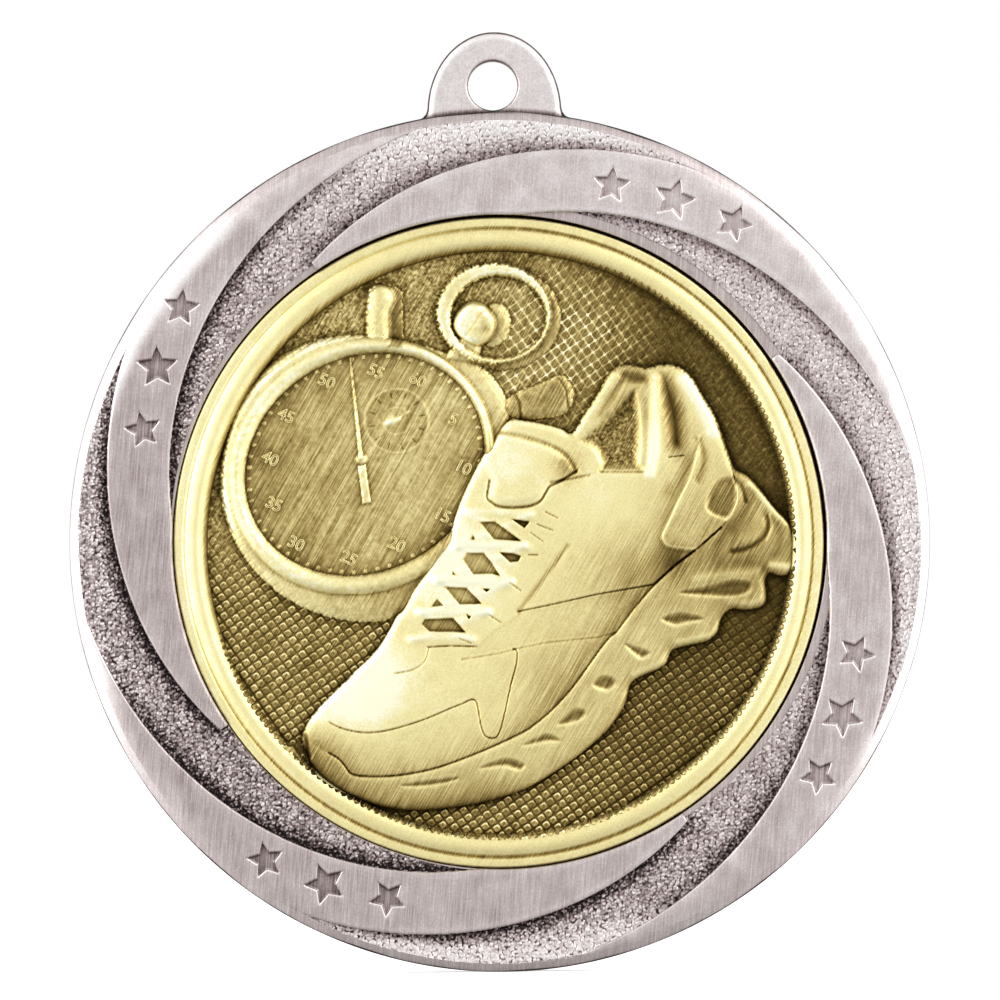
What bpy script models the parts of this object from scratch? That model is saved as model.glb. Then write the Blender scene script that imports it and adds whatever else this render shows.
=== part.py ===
"""Sports medal: a cast frame with a ribbon lug, a struck centre insert and the adhesive pad that holds it.

Every piece is modelled lying face up (x right, y up, z towards the viewer) and hangs from an empty that
stands the medal upright, so that in the world its front faces -Y and its lug points to +Z. The origin is the
centre of the flat back.
"""

import math

import bmesh
import bpy
from mathutils import Vector

MM = 0.001

# Driving dimensions, in millimetres.
DISC_RADIUS = 35.0
DISC_THICKNESS = 4.4
EDGE_ROUND = 0.8
FLOOR_THICKNESS = 1.2

POCKET_RADIUS = 26.75
SEAT_LIP_WIDTH = 0.45
RIM_WIDTH = 1.0
LIP_SLOPE = 0.15
PEBBLE_LEVEL = 3.75
SEAT_LIP_LEVEL = 4.0

INSERT_CLEARANCE = 0.3
STACK_GAP = 0.3
PAD_RADIUS = 24.0
PAD_THICKNESS = 0.3
INSERT_FIELD_THICKNESS = 0.9
INSERT_RIM_HEIGHT = 1.15
INSERT_RIM_WIDTH = 2.5
INSERT_TURN = 0.7  # degrees clockwise that the insert sits off the lug's upright

LUG_OVAL = (0.0, 35.0, 5.45, 6.5)
LUG_THICKNESS = 3.0
LUG_BEVEL = 0.3
LUG_HOLE = (0.0, 37.1, 2.05, 2.05)

BAND_COUNT = 4
BAND_START = -34.85  # degrees clockwise from the lug
BAND_END = 75.15
BAND_STEP = 2.5
BAND_LEVEL = 4.35
BAND_ROOT = 3.4
STAR_ANGLES = (17.0, 26.7, 36.2)  # degrees clockwise from the lug
STAR_CENTRES = (30.4, 31.3, 32.2)
STAR_RADII = (1.25, 1.5, 1.25)
STAR_WAIST = 0.42
STAR_TILT = 4.0
STAR_DEPTH = 0.3

CRISP_ANGLE = 30.0  # degrees
ROUND_STEPS = 128
ARC_STEPS = 4

# Derived levels, measured from the back.
PAD_BACK = FLOOR_THICKNESS + STACK_GAP
INSERT_BACK = PAD_BACK + PAD_THICKNESS + STACK_GAP
FIELD_LEVEL = INSERT_BACK + INSERT_FIELD_THICKNESS
INSERT_TOP = FIELD_LEVEL + INSERT_RIM_HEIGHT
INSERT_RADIUS = POCKET_RADIUS - INSERT_CLEARANCE

# Relief levels on the insert, above its field.
CASE_HEIGHT = 0.45
BEZEL_HEIGHT = 0.8
DIAL_HEIGHT = 0.35
SHOE_HEIGHT = 0.9
CROWN_HEIGHT = 0.7
BOW_HEIGHT = 0.6
TRIM_HEIGHT = 0.5
RELIEF_ROOT = 0.4
CUT_MARGIN = 0.5

# The stopwatch, as ellipses of (centre x, centre y, half width, half height).
DIAL_OVAL = (-10.75, 6.3, 9.8, 9.1)
BEZEL_OVAL = (-11.5, 6.4, 11.5, 10.65)
CASE_OVAL = (-10.4, 5.2, 12.7, 11.7)
CROWN_OVAL = (-1.5, 17.6, 1.9, 1.9)
BOW_OVAL = (-0.3, 18.7, 4.2, 3.7)
BOW_WIRE = 0.45
NECK = ((-4.4, 15.0), (-1.4, 14.2), (-0.6, 17.0), (-2.8, 18.0))
LEFT_BUTTON = ((-10.9, 16.0), (-10.9, 20.6), (-9.0, 20.6), (-9.0, 16.0))
RIGHT_BUTTON = ((0.2, 10.6), (1.7, 12.4), (5.3, 13.6), (6.4, 11.6), (5.2, 10.2), (1.2, 10.1))

# The shoe's silhouette, clockwise from the tongue.
SHOE_OUTLINE = (
    (0.2, 9.2), (1.0, 10.0), (3.0, 9.9), (5.0, 9.3), (6.2, 9.2), (7.0, 10.6), (8.0, 12.3), (9.2, 14.1),
    (10.5, 14.5), (12.2, 14.1), (14.0, 14.4), (15.6, 13.6), (17.0, 11.5), (18.2, 9.0), (19.2, 6.3),
    (20.9, 5.0), (22.2, 3.2), (23.1, 1.3), (23.3, -1.2), (22.6, -2.6), (21.6, -3.1), (21.3, -4.9),
    (18.3, -6.0), (17.4, -7.7), (14.3, -8.8), (13.2, -10.2), (10.5, -11.6), (9.3, -14.8), (6.0, -17.6),
    (2.0, -19.8), (-3.0, -21.4), (-8.0, -21.7), (-12.0, -20.7), (-14.6, -18.8), (-15.8, -16.6),
    (-15.0, -14.0), (-11.0, -10.4), (-8.3, -6.3), (-5.6, -1.8), (-3.0, 3.5), (-1.2, 6.7),
)


def clear_scene():
    for obj in list(bpy.data.objects):
        bpy.data.objects.remove(obj, do_unlink=True)


def collection(name):
    made = bpy.data.collections.new(name)
    bpy.context.scene.collection.children.link(made)
    return made


def move_to(obj, target):
    for old in list(obj.users_collection):
        old.objects.unlink(obj)
    target.objects.link(obj)


def finish(name, colour, roughness, metallic):
    material = bpy.data.materials.new(name)
    material.use_nodes = True
    shader = material.node_tree.nodes["Principled BSDF"]
    shader.inputs["Base Color"].default_value = (*colour, 1.0)
    shader.inputs["Roughness"].default_value = roughness
    shader.inputs["Metallic"].default_value = metallic
    return material


def clockwise(radius, degrees):
    """The point at a radius and at an angle measured clockwise from the lug."""
    angle = math.radians(degrees)
    return radius * math.sin(angle), radius * math.cos(angle)


def arc(centre_r, centre_z, radius, start, end, steps=ARC_STEPS):
    """Profile points along an arc, from one angle to another in degrees."""
    points = []
    for step in range(steps + 1):
        angle = math.radians(start + (end - start) * step / steps)
        points.append((centre_r + radius * math.cos(angle), centre_z + radius * math.sin(angle)))
    return points


def turned(name, profile, target):
    """A solid of revolution about z. The profile runs from the axis at the top, round, to the axis below."""
    mesh = bpy.data.meshes.new(name)
    vertices = [(r * MM, 0.0, z * MM) for r, z in profile]
    mesh.from_pydata(vertices, [(i, i + 1) for i in range(len(vertices) - 1)], [])
    obj = bpy.data.objects.new(name, mesh)
    target.objects.link(obj)
    screw = obj.modifiers.new("turn", "SCREW")
    screw.steps = screw.render_steps = ROUND_STEPS
    screw.use_merge_vertices = True
    screw.merge_threshold = 0.00001
    screw.use_smooth_shade = False
    return obj


def slab(name, outline, low, high, target):
    """A flat outline, extruded between two levels, as a closed mesh."""
    curve = bpy.data.curves.new(name, "CURVE")
    curve.dimensions = "2D"
    curve.fill_mode = "BOTH"
    curve.extrude = (high - low) / 2 * MM
    spline = curve.splines.new("POLY")
    spline.points.add(len(outline) - 1)
    for point, (x, y) in zip(spline.points, outline):
        point.co = (x * MM, y * MM, 0.0, 1.0)
    spline.use_cyclic_u = True
    drawn = bpy.data.objects.new(name, curve)
    drawn.location.z = (high + low) / 2 * MM
    target.objects.link(drawn)
    bpy.context.view_layer.update()
    graph = bpy.context.evaluated_depsgraph_get()
    mesh = bpy.data.meshes.new_from_object(drawn.evaluated_get(graph))
    sealed = bmesh.new()
    sealed.from_mesh(mesh)
    bmesh.ops.remove_doubles(sealed, verts=sealed.verts, dist=0.000001)
    bmesh.ops.recalc_face_normals(sealed, faces=sealed.faces)
    sealed.to_mesh(mesh)
    sealed.free()
    obj = bpy.data.objects.new(name, mesh)
    obj.matrix_world = drawn.matrix_world
    bpy.data.objects.remove(drawn)
    obj.name = name
    target.objects.link(obj)
    return obj


def settle(piece):
    """Applies the modifiers and shades the round faces smooth, leaving crisp edges crisp."""
    bpy.context.view_layer.update()
    graph = bpy.context.evaluated_depsgraph_get()
    piece.data = bpy.data.meshes.new_from_object(piece.evaluated_get(graph))
    piece.modifiers.clear()
    piece.data.shade_smooth()
    piece.data.set_sharp_from_angle(angle=math.radians(CRISP_ANGLE))


def combine(body, other, operation):
    """Adds a Boolean that joins another solid to the body or cuts it away, and hides that solid."""
    modifier = body.modifiers.new(other.name, "BOOLEAN")
    modifier.operation = operation
    modifier.object = other
    other.hide_render = True
    other.display_type = "WIRE"


def oval(shape, steps=72):
    x, y, half_width, half_height = shape
    turn = 2 * math.pi / steps
    angles = [i * turn for i in range(steps)]
    return [(x + half_width * math.cos(angle), y + half_height * math.sin(angle)) for angle in angles]


def grown(shape, amount):
    x, y, half_width, half_height = shape
    return x, y, half_width + amount, half_height + amount


def smooth_loop(points, steps=3):
    """A closed Catmull-Rom curve through the points."""
    count = len(points)
    path = []
    for i in range(count):
        a, b, c, d = (Vector(points[(i + k) % count]) for k in (-1, 0, 1, 2))
        for step in range(steps):
            t = step / steps
            spot = 2 * b + (c - a) * t + (2 * a - 5 * b + 4 * c - d) * t**2 + (3 * b - a - 3 * c + d) * t**3
            path.append((spot.x / 2, spot.y / 2))
    return path


def band_inner(angle):
    """Radius of a swirl band's inner edge at an angle in degrees clockwise from the lug."""
    return 27.0 + 0.1 * (angle - 7.0) + 0.00004 * (angle - 7.0) ** 2


def band_outer(angle):
    """Radius of a swirl band's outer edge."""
    return 27.3 + 0.118 * (angle + 35.0) - 0.00004 * (angle + 35.0) ** 2


def band_outline():
    """One swirl band: it leaves the seat, crosses the ring outwards and runs out along the rim."""
    first, last, step = BAND_START, BAND_END, BAND_STEP
    seat = POCKET_RADIUS + SEAT_LIP_WIDTH / 2
    rim = DISC_RADIUS - RIM_WIDTH / 2
    angles = [first + i * step for i in range(int((last - first) / step) + 1)]
    outer = [clockwise(min(rim, max(seat + 0.2, band_outer(a))), a) for a in angles]
    inner = [clockwise(min(rim - 0.2, max(seat, band_inner(a))), a) for a in angles]
    return outer + inner[::-1]


def star_outline(radius, centre, angle):
    points = []
    for i in range(10):
        reach = radius if i % 2 == 0 else radius * STAR_WAIST
        direction = math.radians(i * 36 + angle - STAR_TILT)
        x, y = clockwise(centre, angle)
        points.append((x + reach * math.sin(direction), y + reach * math.cos(direction)))
    return points


def turn_outline(outline, degrees):
    angle = math.radians(-degrees)
    c, s = math.cos(angle), math.sin(angle)
    return [(x * c - y * s, x * s + y * c) for x, y in outline]


def frame_profile():
    """Pocket floor and wall, seat lip, pebbled floor, rounded rim, flat back."""
    lip = POCKET_RADIUS + SEAT_LIP_WIDTH
    rim = DISC_RADIUS - RIM_WIDTH
    inside = DISC_RADIUS - EDGE_ROUND
    pocket = [(0.0, FLOOR_THICKNESS), (POCKET_RADIUS, FLOOR_THICKNESS), (POCKET_RADIUS, SEAT_LIP_LEVEL)]
    ring = [(lip - LIP_SLOPE, SEAT_LIP_LEVEL), (lip, PEBBLE_LEVEL)]
    ring += [(rim - LIP_SLOPE, PEBBLE_LEVEL), (rim, DISC_THICKNESS)]
    edge = arc(inside, DISC_THICKNESS - EDGE_ROUND, EDGE_ROUND, 90, 0)
    edge += arc(inside, EDGE_ROUND, EDGE_ROUND, 0, -90)
    return pocket + ring + edge + [(0.0, 0.0)]


def medal_frame(parts, cutters):
    """The casting: turned body, lug with its hole, four swirl bands and twelve sunk stars."""
    frame = turned("medal_frame", frame_profile(), parts)
    lug = slab("lug_blank", oval(LUG_OVAL), 0.0, LUG_THICKNESS, cutters)
    bevel = lug.modifiers.new("edge", "BEVEL")
    bevel.width = LUG_BEVEL * MM
    bevel.segments = 2
    combine(frame, lug, "UNION")
    for turn in range(BAND_COUNT):
        outline = turn_outline(band_outline(), 360 / BAND_COUNT * turn)
        combine(frame, slab(f"band_{turn + 1}", outline, BAND_ROOT, BAND_LEVEL, cutters), "UNION")
    hole = slab("lug_hole", oval(LUG_HOLE, 48), -CUT_MARGIN, LUG_THICKNESS + CUT_MARGIN, cutters)
    combine(frame, hole, "DIFFERENCE")
    for turn in range(BAND_COUNT):
        for index, (angle, centre, radius) in enumerate(zip(STAR_ANGLES, STAR_CENTRES, STAR_RADII)):
            outline = star_outline(radius, centre, angle + 360 / BAND_COUNT * turn)
            name = f"star_{turn + 1}_{index + 1}"
            star = slab(name, outline, BAND_LEVEL - STAR_DEPTH, DISC_THICKNESS + CUT_MARGIN, cutters)
            combine(frame, star, "DIFFERENCE")
    return frame


def insert_profile():
    """Raised rounded rim round a flat field, with a square edge and a flat back."""
    crown = INSERT_RIM_WIDTH / 2
    middle = INSERT_RADIUS - crown
    steps = 2 * ARC_STEPS
    rise = []
    for step in range(steps + 1):
        angle = math.pi * (1 - step / steps)
        rise.append((middle + crown * math.cos(angle), FIELD_LEVEL + INSERT_RIM_HEIGHT * math.sin(angle)))
    return [(0.0, FIELD_LEVEL)] + rise + [(INSERT_RADIUS, INSERT_BACK), (0.0, INSERT_BACK)]


def centre_insert(parts, cutters):
    """The struck disc: rim, stopwatch and running shoe stand up from one flat field."""
    insert = turned("centre_insert", insert_profile(), parts)
    root = FIELD_LEVEL - RELIEF_ROOT
    raised = (
        ("watch_case", oval(CASE_OVAL), CASE_HEIGHT),
        ("watch_bezel", oval(BEZEL_OVAL), BEZEL_HEIGHT),
        ("watch_neck", NECK, TRIM_HEIGHT),
        ("left_button", LEFT_BUTTON, TRIM_HEIGHT),
        ("right_button", RIGHT_BUTTON, TRIM_HEIGHT),
    )
    for name, outline, height in raised:
        combine(insert, slab(name, outline, root, FIELD_LEVEL + height, cutters), "UNION")
    bow = slab("bow_ring", oval(grown(BOW_OVAL, BOW_WIRE)), root, FIELD_LEVEL + BOW_HEIGHT, cutters)
    eye = slab("bow_eye", oval(grown(BOW_OVAL, -BOW_WIRE)), root - CUT_MARGIN, INSERT_TOP, cutters)
    combine(bow, eye, "DIFFERENCE")
    combine(insert, bow, "UNION")
    dial = slab("dial_sink", oval(DIAL_OVAL), FIELD_LEVEL + DIAL_HEIGHT, INSERT_TOP + CUT_MARGIN, cutters)
    combine(insert, dial, "DIFFERENCE")
    crown = slab("crown_knob", oval(CROWN_OVAL, 32), root, FIELD_LEVEL + CROWN_HEIGHT, cutters)
    combine(insert, crown, "UNION")
    shoe = slab("shoe", smooth_loop(SHOE_OUTLINE), root, FIELD_LEVEL + SHOE_HEIGHT, cutters)
    combine(insert, shoe, "UNION")
    return insert


def adhesive_pad(parts):
    """The double-sided foam disc between the pocket floor and the insert."""
    bpy.ops.mesh.primitive_cylinder_add(vertices=96, radius=PAD_RADIUS * MM, depth=PAD_THICKNESS * MM)
    pad = bpy.context.object
    pad.name = "adhesive_pad"
    pad.location.z = (PAD_BACK + PAD_THICKNESS / 2) * MM
    move_to(pad, parts)
    return pad


def main():
    clear_scene()
    parts = collection("sports_medal")
    cutters = collection("cutters")
    frame = medal_frame(parts, cutters)
    insert = centre_insert(parts, cutters)
    pad = adhesive_pad(parts)
    for piece in (frame, insert, pad):
        settle(piece)
    insert.rotation_euler.z = math.radians(-INSERT_TURN)
    frame.data.materials.append(finish("antique_silver", (0.68, 0.63, 0.64), 0.38, 1.0))
    insert.data.materials.append(finish("antique_gold", (0.86, 0.76, 0.38), 0.35, 1.0))
    pad.data.materials.append(finish("white_foam", (0.85, 0.85, 0.82), 0.9, 0.0))
    stand = bpy.data.objects.new("medal_upright", None)
    stand.rotation_euler.x = math.pi / 2
    parts.objects.link(stand)
    for obj in (frame, insert, pad, *cutters.objects):
        obj.parent = stand


main()
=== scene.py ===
import math

import bpy
import numpy as np
from mathutils import Euler, Matrix, Vector
from mathutils.geometry import delaunay_2d_cdt


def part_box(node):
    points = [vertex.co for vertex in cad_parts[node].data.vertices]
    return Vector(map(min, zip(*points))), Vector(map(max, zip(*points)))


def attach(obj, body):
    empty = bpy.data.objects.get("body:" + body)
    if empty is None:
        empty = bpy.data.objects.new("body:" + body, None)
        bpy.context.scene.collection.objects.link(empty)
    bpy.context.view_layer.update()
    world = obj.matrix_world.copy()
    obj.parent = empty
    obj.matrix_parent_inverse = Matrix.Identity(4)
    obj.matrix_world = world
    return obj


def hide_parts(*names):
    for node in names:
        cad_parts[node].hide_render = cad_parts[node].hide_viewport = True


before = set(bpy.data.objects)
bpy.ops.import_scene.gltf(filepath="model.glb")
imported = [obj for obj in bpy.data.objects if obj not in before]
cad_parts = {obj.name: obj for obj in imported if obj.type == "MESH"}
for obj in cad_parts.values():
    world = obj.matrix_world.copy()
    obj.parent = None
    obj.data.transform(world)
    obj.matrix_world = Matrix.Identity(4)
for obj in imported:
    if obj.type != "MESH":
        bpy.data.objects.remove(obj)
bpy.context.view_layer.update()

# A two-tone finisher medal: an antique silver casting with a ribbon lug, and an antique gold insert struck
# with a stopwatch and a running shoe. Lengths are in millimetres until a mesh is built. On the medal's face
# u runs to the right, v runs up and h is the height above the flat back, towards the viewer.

MM = 0.001
FAR = 50.0  # a distance out of reach of everything

# Sizes from the frame.
frame_low, frame_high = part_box("medal_frame")
insert_low, insert_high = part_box("centre_insert")
DISC_RADIUS = frame_high.x / MM
DISC_TOP = -frame_low.y / MM
LUG_TOP = frame_high.z / MM
INSERT_RADIUS = insert_high.x / MM
INSERT_TOP = -insert_low.y / MM
INSERT_BACK = -insert_high.y / MM

# Levels above the back.
POCKET_FLOOR = 1.2
RIM_HEIGHT = 1.15
FIELD = INSERT_TOP - RIM_HEIGHT
RELIEF_FOOT = FIELD - 0.35
BAND_TOP = DISC_TOP - 0.05
PEBBLE_FLOOR = DISC_TOP - 0.6
RING_FOOT = PEBBLE_FLOOR - 0.3
RIM_SPAN = 2.3  # the bands and the rim roll off together over this width
RIM_FALL = 1.0
BACK_ROUND = 0.7
LUG_THICKNESS = 3.0

# Radii on the face.
SEAT_RADIUS = INSERT_RADIUS + 0.14
LIP_RADIUS = SEAT_RADIUS + 1.1
RIM_INNER = DISC_RADIUS - 0.8
FIELD_RADIUS = INSERT_RADIUS - 2.75

INSERT_SHIFT = (-0.08, -0.07)
DESIGN_TURN = math.radians(0.7)  # the struck designs sit this far clockwise of the lug's upright
INSERT_PITCH = 0.0775
RING_PITCH = 0.07


# ---- Outlines and grids


class Grid:
    """Evenly spaced points over the medal's face."""

    def __init__(self, half_width, pitch):
        self.pitch = pitch
        self.axis = np.arange(-half_width, half_width + pitch, pitch)
        self.u, self.v = np.meshgrid(self.axis, self.axis)

    @property
    def radius(self):
        return np.hypot(self.u, self.v)

    def window(self, points, reach):
        """The part of the grid that lies within reach of a set of points."""
        low = np.searchsorted(self.axis, points.min(axis=0) - reach)
        high = np.searchsorted(self.axis, points.max(axis=0) + reach)
        return slice(low[1], high[1]), slice(low[0], high[0])

    def distance(self, points, closed=True, reach=1.5):
        """Distance to a polyline, negative inside a closed one. Points out of reach get a large distance."""
        points = np.asarray(points, float)
        part = self.window(points, reach)
        u, v = self.u[part], self.v[part]
        nearest = np.full(u.shape, FAR * FAR)
        inside = np.zeros(u.shape, bool)
        ends = np.roll(points, -1, axis=0) if closed else points[1:]
        for (u0, v0), (u1, v1) in zip(points, ends):
            along_u, along_v = u1 - u0, v1 - v0
            length = along_u * along_u + along_v * along_v
            if length == 0:
                continue
            share = np.clip(((u - u0) * along_u + (v - v0) * along_v) / length, 0, 1)
            off_u = u - u0 - share * along_u
            off_v = v - v0 - share * along_v
            nearest = np.minimum(nearest, off_u * off_u + off_v * off_v)
            if closed and v0 != v1:
                inside ^= ((v0 > v) != (v1 > v)) & (u < along_u * (v - v0) / along_v + u0)
        result = np.full(self.u.shape, FAR)
        distance = np.sqrt(nearest)
        result[part] = np.where(inside, -distance, distance)
        return result

    def blur(self, values, radius):
        """Gaussian blur, with the radius in millimetres."""
        frequency = np.fft.fftfreq(len(self.axis), self.pitch)
        decay = np.exp(-2 * (math.pi * radius * frequency) ** 2)
        return np.fft.ifft2(np.fft.fft2(values) * decay[:, None] * decay[None, :]).real

    def grain(self, seed, radius):
        """Smooth random bumps with the given blur radius, about -1 to 1."""
        noise = self.blur(np.random.default_rng(seed).standard_normal(self.u.shape), radius)
        return noise / (2 * noise.std())

    def scratches(self, lean, spacing, seed):
        """Random straight lines, leaning some degrees clockwise of upright and fading in and out."""
        lines = np.random.default_rng(seed).standard_normal(512)
        across = self.u * math.cos(math.radians(lean)) - self.v * math.sin(math.radians(lean))
        strength = np.interp(across / spacing, np.arange(-256, 256), lines)
        return strength * (0.6 + 0.6 * self.grain(seed + 1, 1.5))


def curve(points, closed=True, steps=5):
    """A smooth Catmull-Rom line through the points."""
    points = np.asarray(points, float)
    count = len(points)
    path = []
    for i in range(count if closed else count - 1):
        around = (i - 1, i, i + 1, i + 2)
        if closed:
            a, b, c, d = (points[k % count] for k in around)
        else:
            a, b, c, d = (points[min(max(k, 0), count - 1)] for k in around)
        for step in range(steps):
            t = step / steps
            cubic = 2 * b + (c - a) * t + (2 * a - 5 * b + 4 * c - d) * t**2
            path.append((cubic + (3 * b - a - 3 * c + d) * t**3) / 2)
    if not closed:
        path.append(points[-1])
    return np.array(path)


def oval(u, v, half_long, half_short, tilt=0.0, steps=96):
    """An ellipse whose long axis is tilted up by some degrees."""
    turn = np.linspace(0, 2 * math.pi, steps, endpoint=False)
    c, s = math.cos(math.radians(tilt)), math.sin(math.radians(tilt))
    along, across = half_long * np.cos(turn), half_short * np.sin(turn)
    return np.stack((u + along * c - across * s, v + along * s + across * c), axis=1)


def ease(t):
    """A smooth step from 0 to 1."""
    t = np.clip(t, 0, 1)
    return t * t * (3 - 2 * t)


def rounded(t):
    """A quarter circle from 0 to 1."""
    t = np.clip(t, 0, 1)
    return np.sqrt(1 - (1 - t) ** 2)


def fading(distance, reach):
    """1 on a line, falling away on both sides of it."""
    return np.exp(-np.abs(distance) / reach)


def bell(distance, reach):
    return np.exp(-((distance / reach) ** 2))


class Relief:
    """A height map over a grid, raised, sunk and scored along outlines, with its shade of painted light and
    wear.

    Shade is 0 where the surface is plain, positive where a highlight is painted or the metal is rubbed
    bright, and negative where shade is painted or the metal is dark.
    """

    def __init__(self, grid):
        self.grid = grid
        self.height = np.zeros(grid.u.shape)
        self.shade = np.zeros(grid.u.shape)

    def raise_to(self, distance, level, shoulder):
        """Lifts the inside of an outline to a level, with a rounded shoulder."""
        lifted = level * rounded(-distance / shoulder)
        self.height = np.where(distance < 0, np.maximum(self.height, lifted), self.height)

    def sink_to(self, distance, level, wall, shade=0.0):
        """Lowers the inside of an outline to a level."""
        share = ease(-distance / wall)
        self.height += share * (np.minimum(level, self.height) - self.height)
        self.shade += shade * share

    def score(self, path, width, depth, shade, closed=False):
        """Cuts a rounded groove along a line, or raises a ridge for a negative depth."""
        near = np.abs(self.grid.distance(path, closed)) / width
        fall = np.exp(-near * near * 2)
        self.height -= depth * fall
        self.shade += shade * fall

    def crease(self, width, depth, shade, *points):
        """Scores a smooth line through the points."""
        self.score(curve(points, False), width, depth, shade)

    def swell(self, u, v, reach, rise, shade):
        """A soft swelling round a point."""
        fall = np.exp(-((self.grid.u - u) ** 2 + (self.grid.v - v) ** 2) / reach**2)
        self.height += rise * fall
        self.shade += shade * fall


# ---- Building solids


def place(u, v, h, turn=DESIGN_TURN, shift=(0.0, 0.0)):
    """Face coordinates to metres in the medal's own frame, turned clockwise with the struck design."""
    c, s = math.cos(turn), math.sin(turn)
    return np.stack(((u * c + v * s + shift[0]) * MM, -h * MM, (v * c - u * s + shift[1]) * MM), axis=-1)


def finish_piece(name, mesh, tone, metal):
    """Links a mesh as a piece of the medal, with its tone from dark hollows to bright high spots, painted
    light and shade included.
    """
    attribute = mesh.attributes.new("tone", "FLOAT", "POINT")
    attribute.data.foreach_set("value", np.asarray(tone, np.float32))
    mesh.materials.append(METALS[metal])
    piece = bpy.data.objects.new(name, mesh)
    bpy.context.scene.collection.objects.link(piece)
    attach(piece, "root")
    return piece


def relief_solid(name, metal, grid, region, height, foot, tone, under_tone=0.3, **placing):
    """A closed solid under a height map, inside the outline where the region's distance is negative.

    The outermost points slide onto the outline, so the edge is smooth, and walls run down to a flat foot.
    """
    cells = (region[:-1, :-1] + region[1:, :-1] + region[:-1, 1:] + region[1:, 1:]) / 4 < 0
    used = np.zeros(region.shape, bool)
    for rows in (slice(0, -1), slice(1, None)):
        for columns in (slice(0, -1), slice(1, None)):
            used[rows, columns] |= cells
    count = int(used.sum())
    index = np.full(region.shape, -1)
    index[used] = np.arange(count)

    corners = (index[:-1, :-1], index[:-1, 1:], index[1:, 1:], index[1:, :-1])
    quads = np.stack([corner[cells] for corner in corners], axis=1)
    padded = np.pad(cells, 1)
    beside = (padded[:-2, 1:-1], padded[1:-1, 2:], padded[2:, 1:-1], padded[1:-1, :-2])
    edges = []
    for near, a, b in zip(beside, corners, corners[1:] + corners[:1]):
        edges.append(np.stack((a[cells & ~near], b[cells & ~near]), axis=1))
    edges = np.concatenate(edges)

    u, v = grid.u[used].copy(), grid.v[used].copy()
    slope_v, slope_u = np.gradient(np.clip(region, -1, 1), grid.pitch)
    rim = np.unique(edges)
    slide = np.clip(region[used][rim], -grid.pitch, grid.pitch)
    u[rim] -= slide * slope_u[used][rim]
    v[rim] -= slide * slope_v[used][rim]

    under = np.full(count, -1)
    under[rim] = np.arange(len(rim))
    foot_u, foot_v, fill, under_rim = flat_fill(u[rim], v[rim], under[edges])
    under[rim] = count + under_rim
    top = place(u, v, height[used], **placing)
    bottom = place(foot_u, foot_v, np.full(len(foot_u), foot), **placing)
    walls = np.stack((edges[:, 1], edges[:, 0], under[edges[:, 0]], under[edges[:, 1]]), axis=1)
    faces = quads.tolist() + walls.tolist() + [[count + corner for corner in face] for face in fill]
    mesh = smooth_mesh(name, np.concatenate((top, bottom)).tolist(), faces, 60)
    return finish_piece(name, mesh, np.concatenate((tone[used], np.full(len(foot_u), under_tone))), metal)


def smooth_mesh(name, points, faces, sharp_degrees):
    mesh = bpy.data.meshes.new(name)
    mesh.from_pydata(points, [], faces)
    mesh.shade_smooth()
    mesh.set_sharp_from_angle(angle=math.radians(sharp_degrees))
    return mesh


def flat_fill(u, v, edges):
    """Triangles inside a flat border, facing away from the viewer, and where each border point went."""
    points = [Vector(point) for point in zip(u, v)]
    filled, _, faces, origins, _, _ = delaunay_2d_cdt(points, edges.tolist(), [], 1, 1e-7)
    moved = np.zeros(len(points), int)
    for new, olds in enumerate(origins):
        moved[olds] = new
    border = {(moved[a], moved[b]) for a, b in edges}
    owner = {}
    for index, face in enumerate(faces):
        for side in zip(face, face[1:] + face[:1]):
            owner[side] = index

    # Start from the faces along the border's inner side and spread, without stepping over the border.
    kept = {owner[side] for side in border if side in owner}
    waiting = list(kept)
    while waiting:
        face = faces[waiting.pop()]
        for a, b in zip(face, face[1:] + face[:1]):
            beyond = owner.get((b, a))
            if (a, b) not in border and beyond is not None and beyond not in kept:
                kept.add(beyond)
                waiting.append(beyond)
    flat = np.array([tuple(point) for point in filled])
    return flat[:, 0], flat[:, 1], [faces[index][::-1] for index in sorted(kept)], moved


def turned_solid(name, metal, profile, tone_at, steps=512, **placing):
    """A closed lathe piece. The profile runs from the axis on the front round to the axis on the back."""
    turn = np.linspace(0, 2 * math.pi, steps, endpoint=False)
    points, rings, tones = [], [], []
    for radius, level in profile:
        start = len(points)
        if radius == 0:
            points.append(place(0.0, 0.0, level, **placing).tolist())
            rings.append([start] * steps)
        else:
            ring = place(radius * np.cos(turn), radius * np.sin(turn), np.full(steps, level), **placing)
            points += ring.tolist()
            rings.append(list(range(start, start + steps)))
        tones += np.broadcast_to(tone_at(radius, level, turn), steps)[: len(points) - start].tolist()
    faces = []
    for inner, outer in zip(rings, rings[1:]):
        for i in range(steps):
            j = (i + 1) % steps
            # At the axis two corners are the same point, and the face becomes a triangle.
            faces.append(list(dict.fromkeys((inner[i], outer[i], outer[j], inner[j]))))
    return finish_piece(name, smooth_mesh(name, points, faces, 40), tones, metal)


def arc(radius, level, size, start, end, steps):
    """Profile points along an arc, between two angles in degrees from the outward direction."""
    turn = np.radians(np.linspace(start, end, steps + 1))
    return list(zip(radius + size * np.cos(turn), level + size * np.sin(turn)))


# ---- Materials


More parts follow.
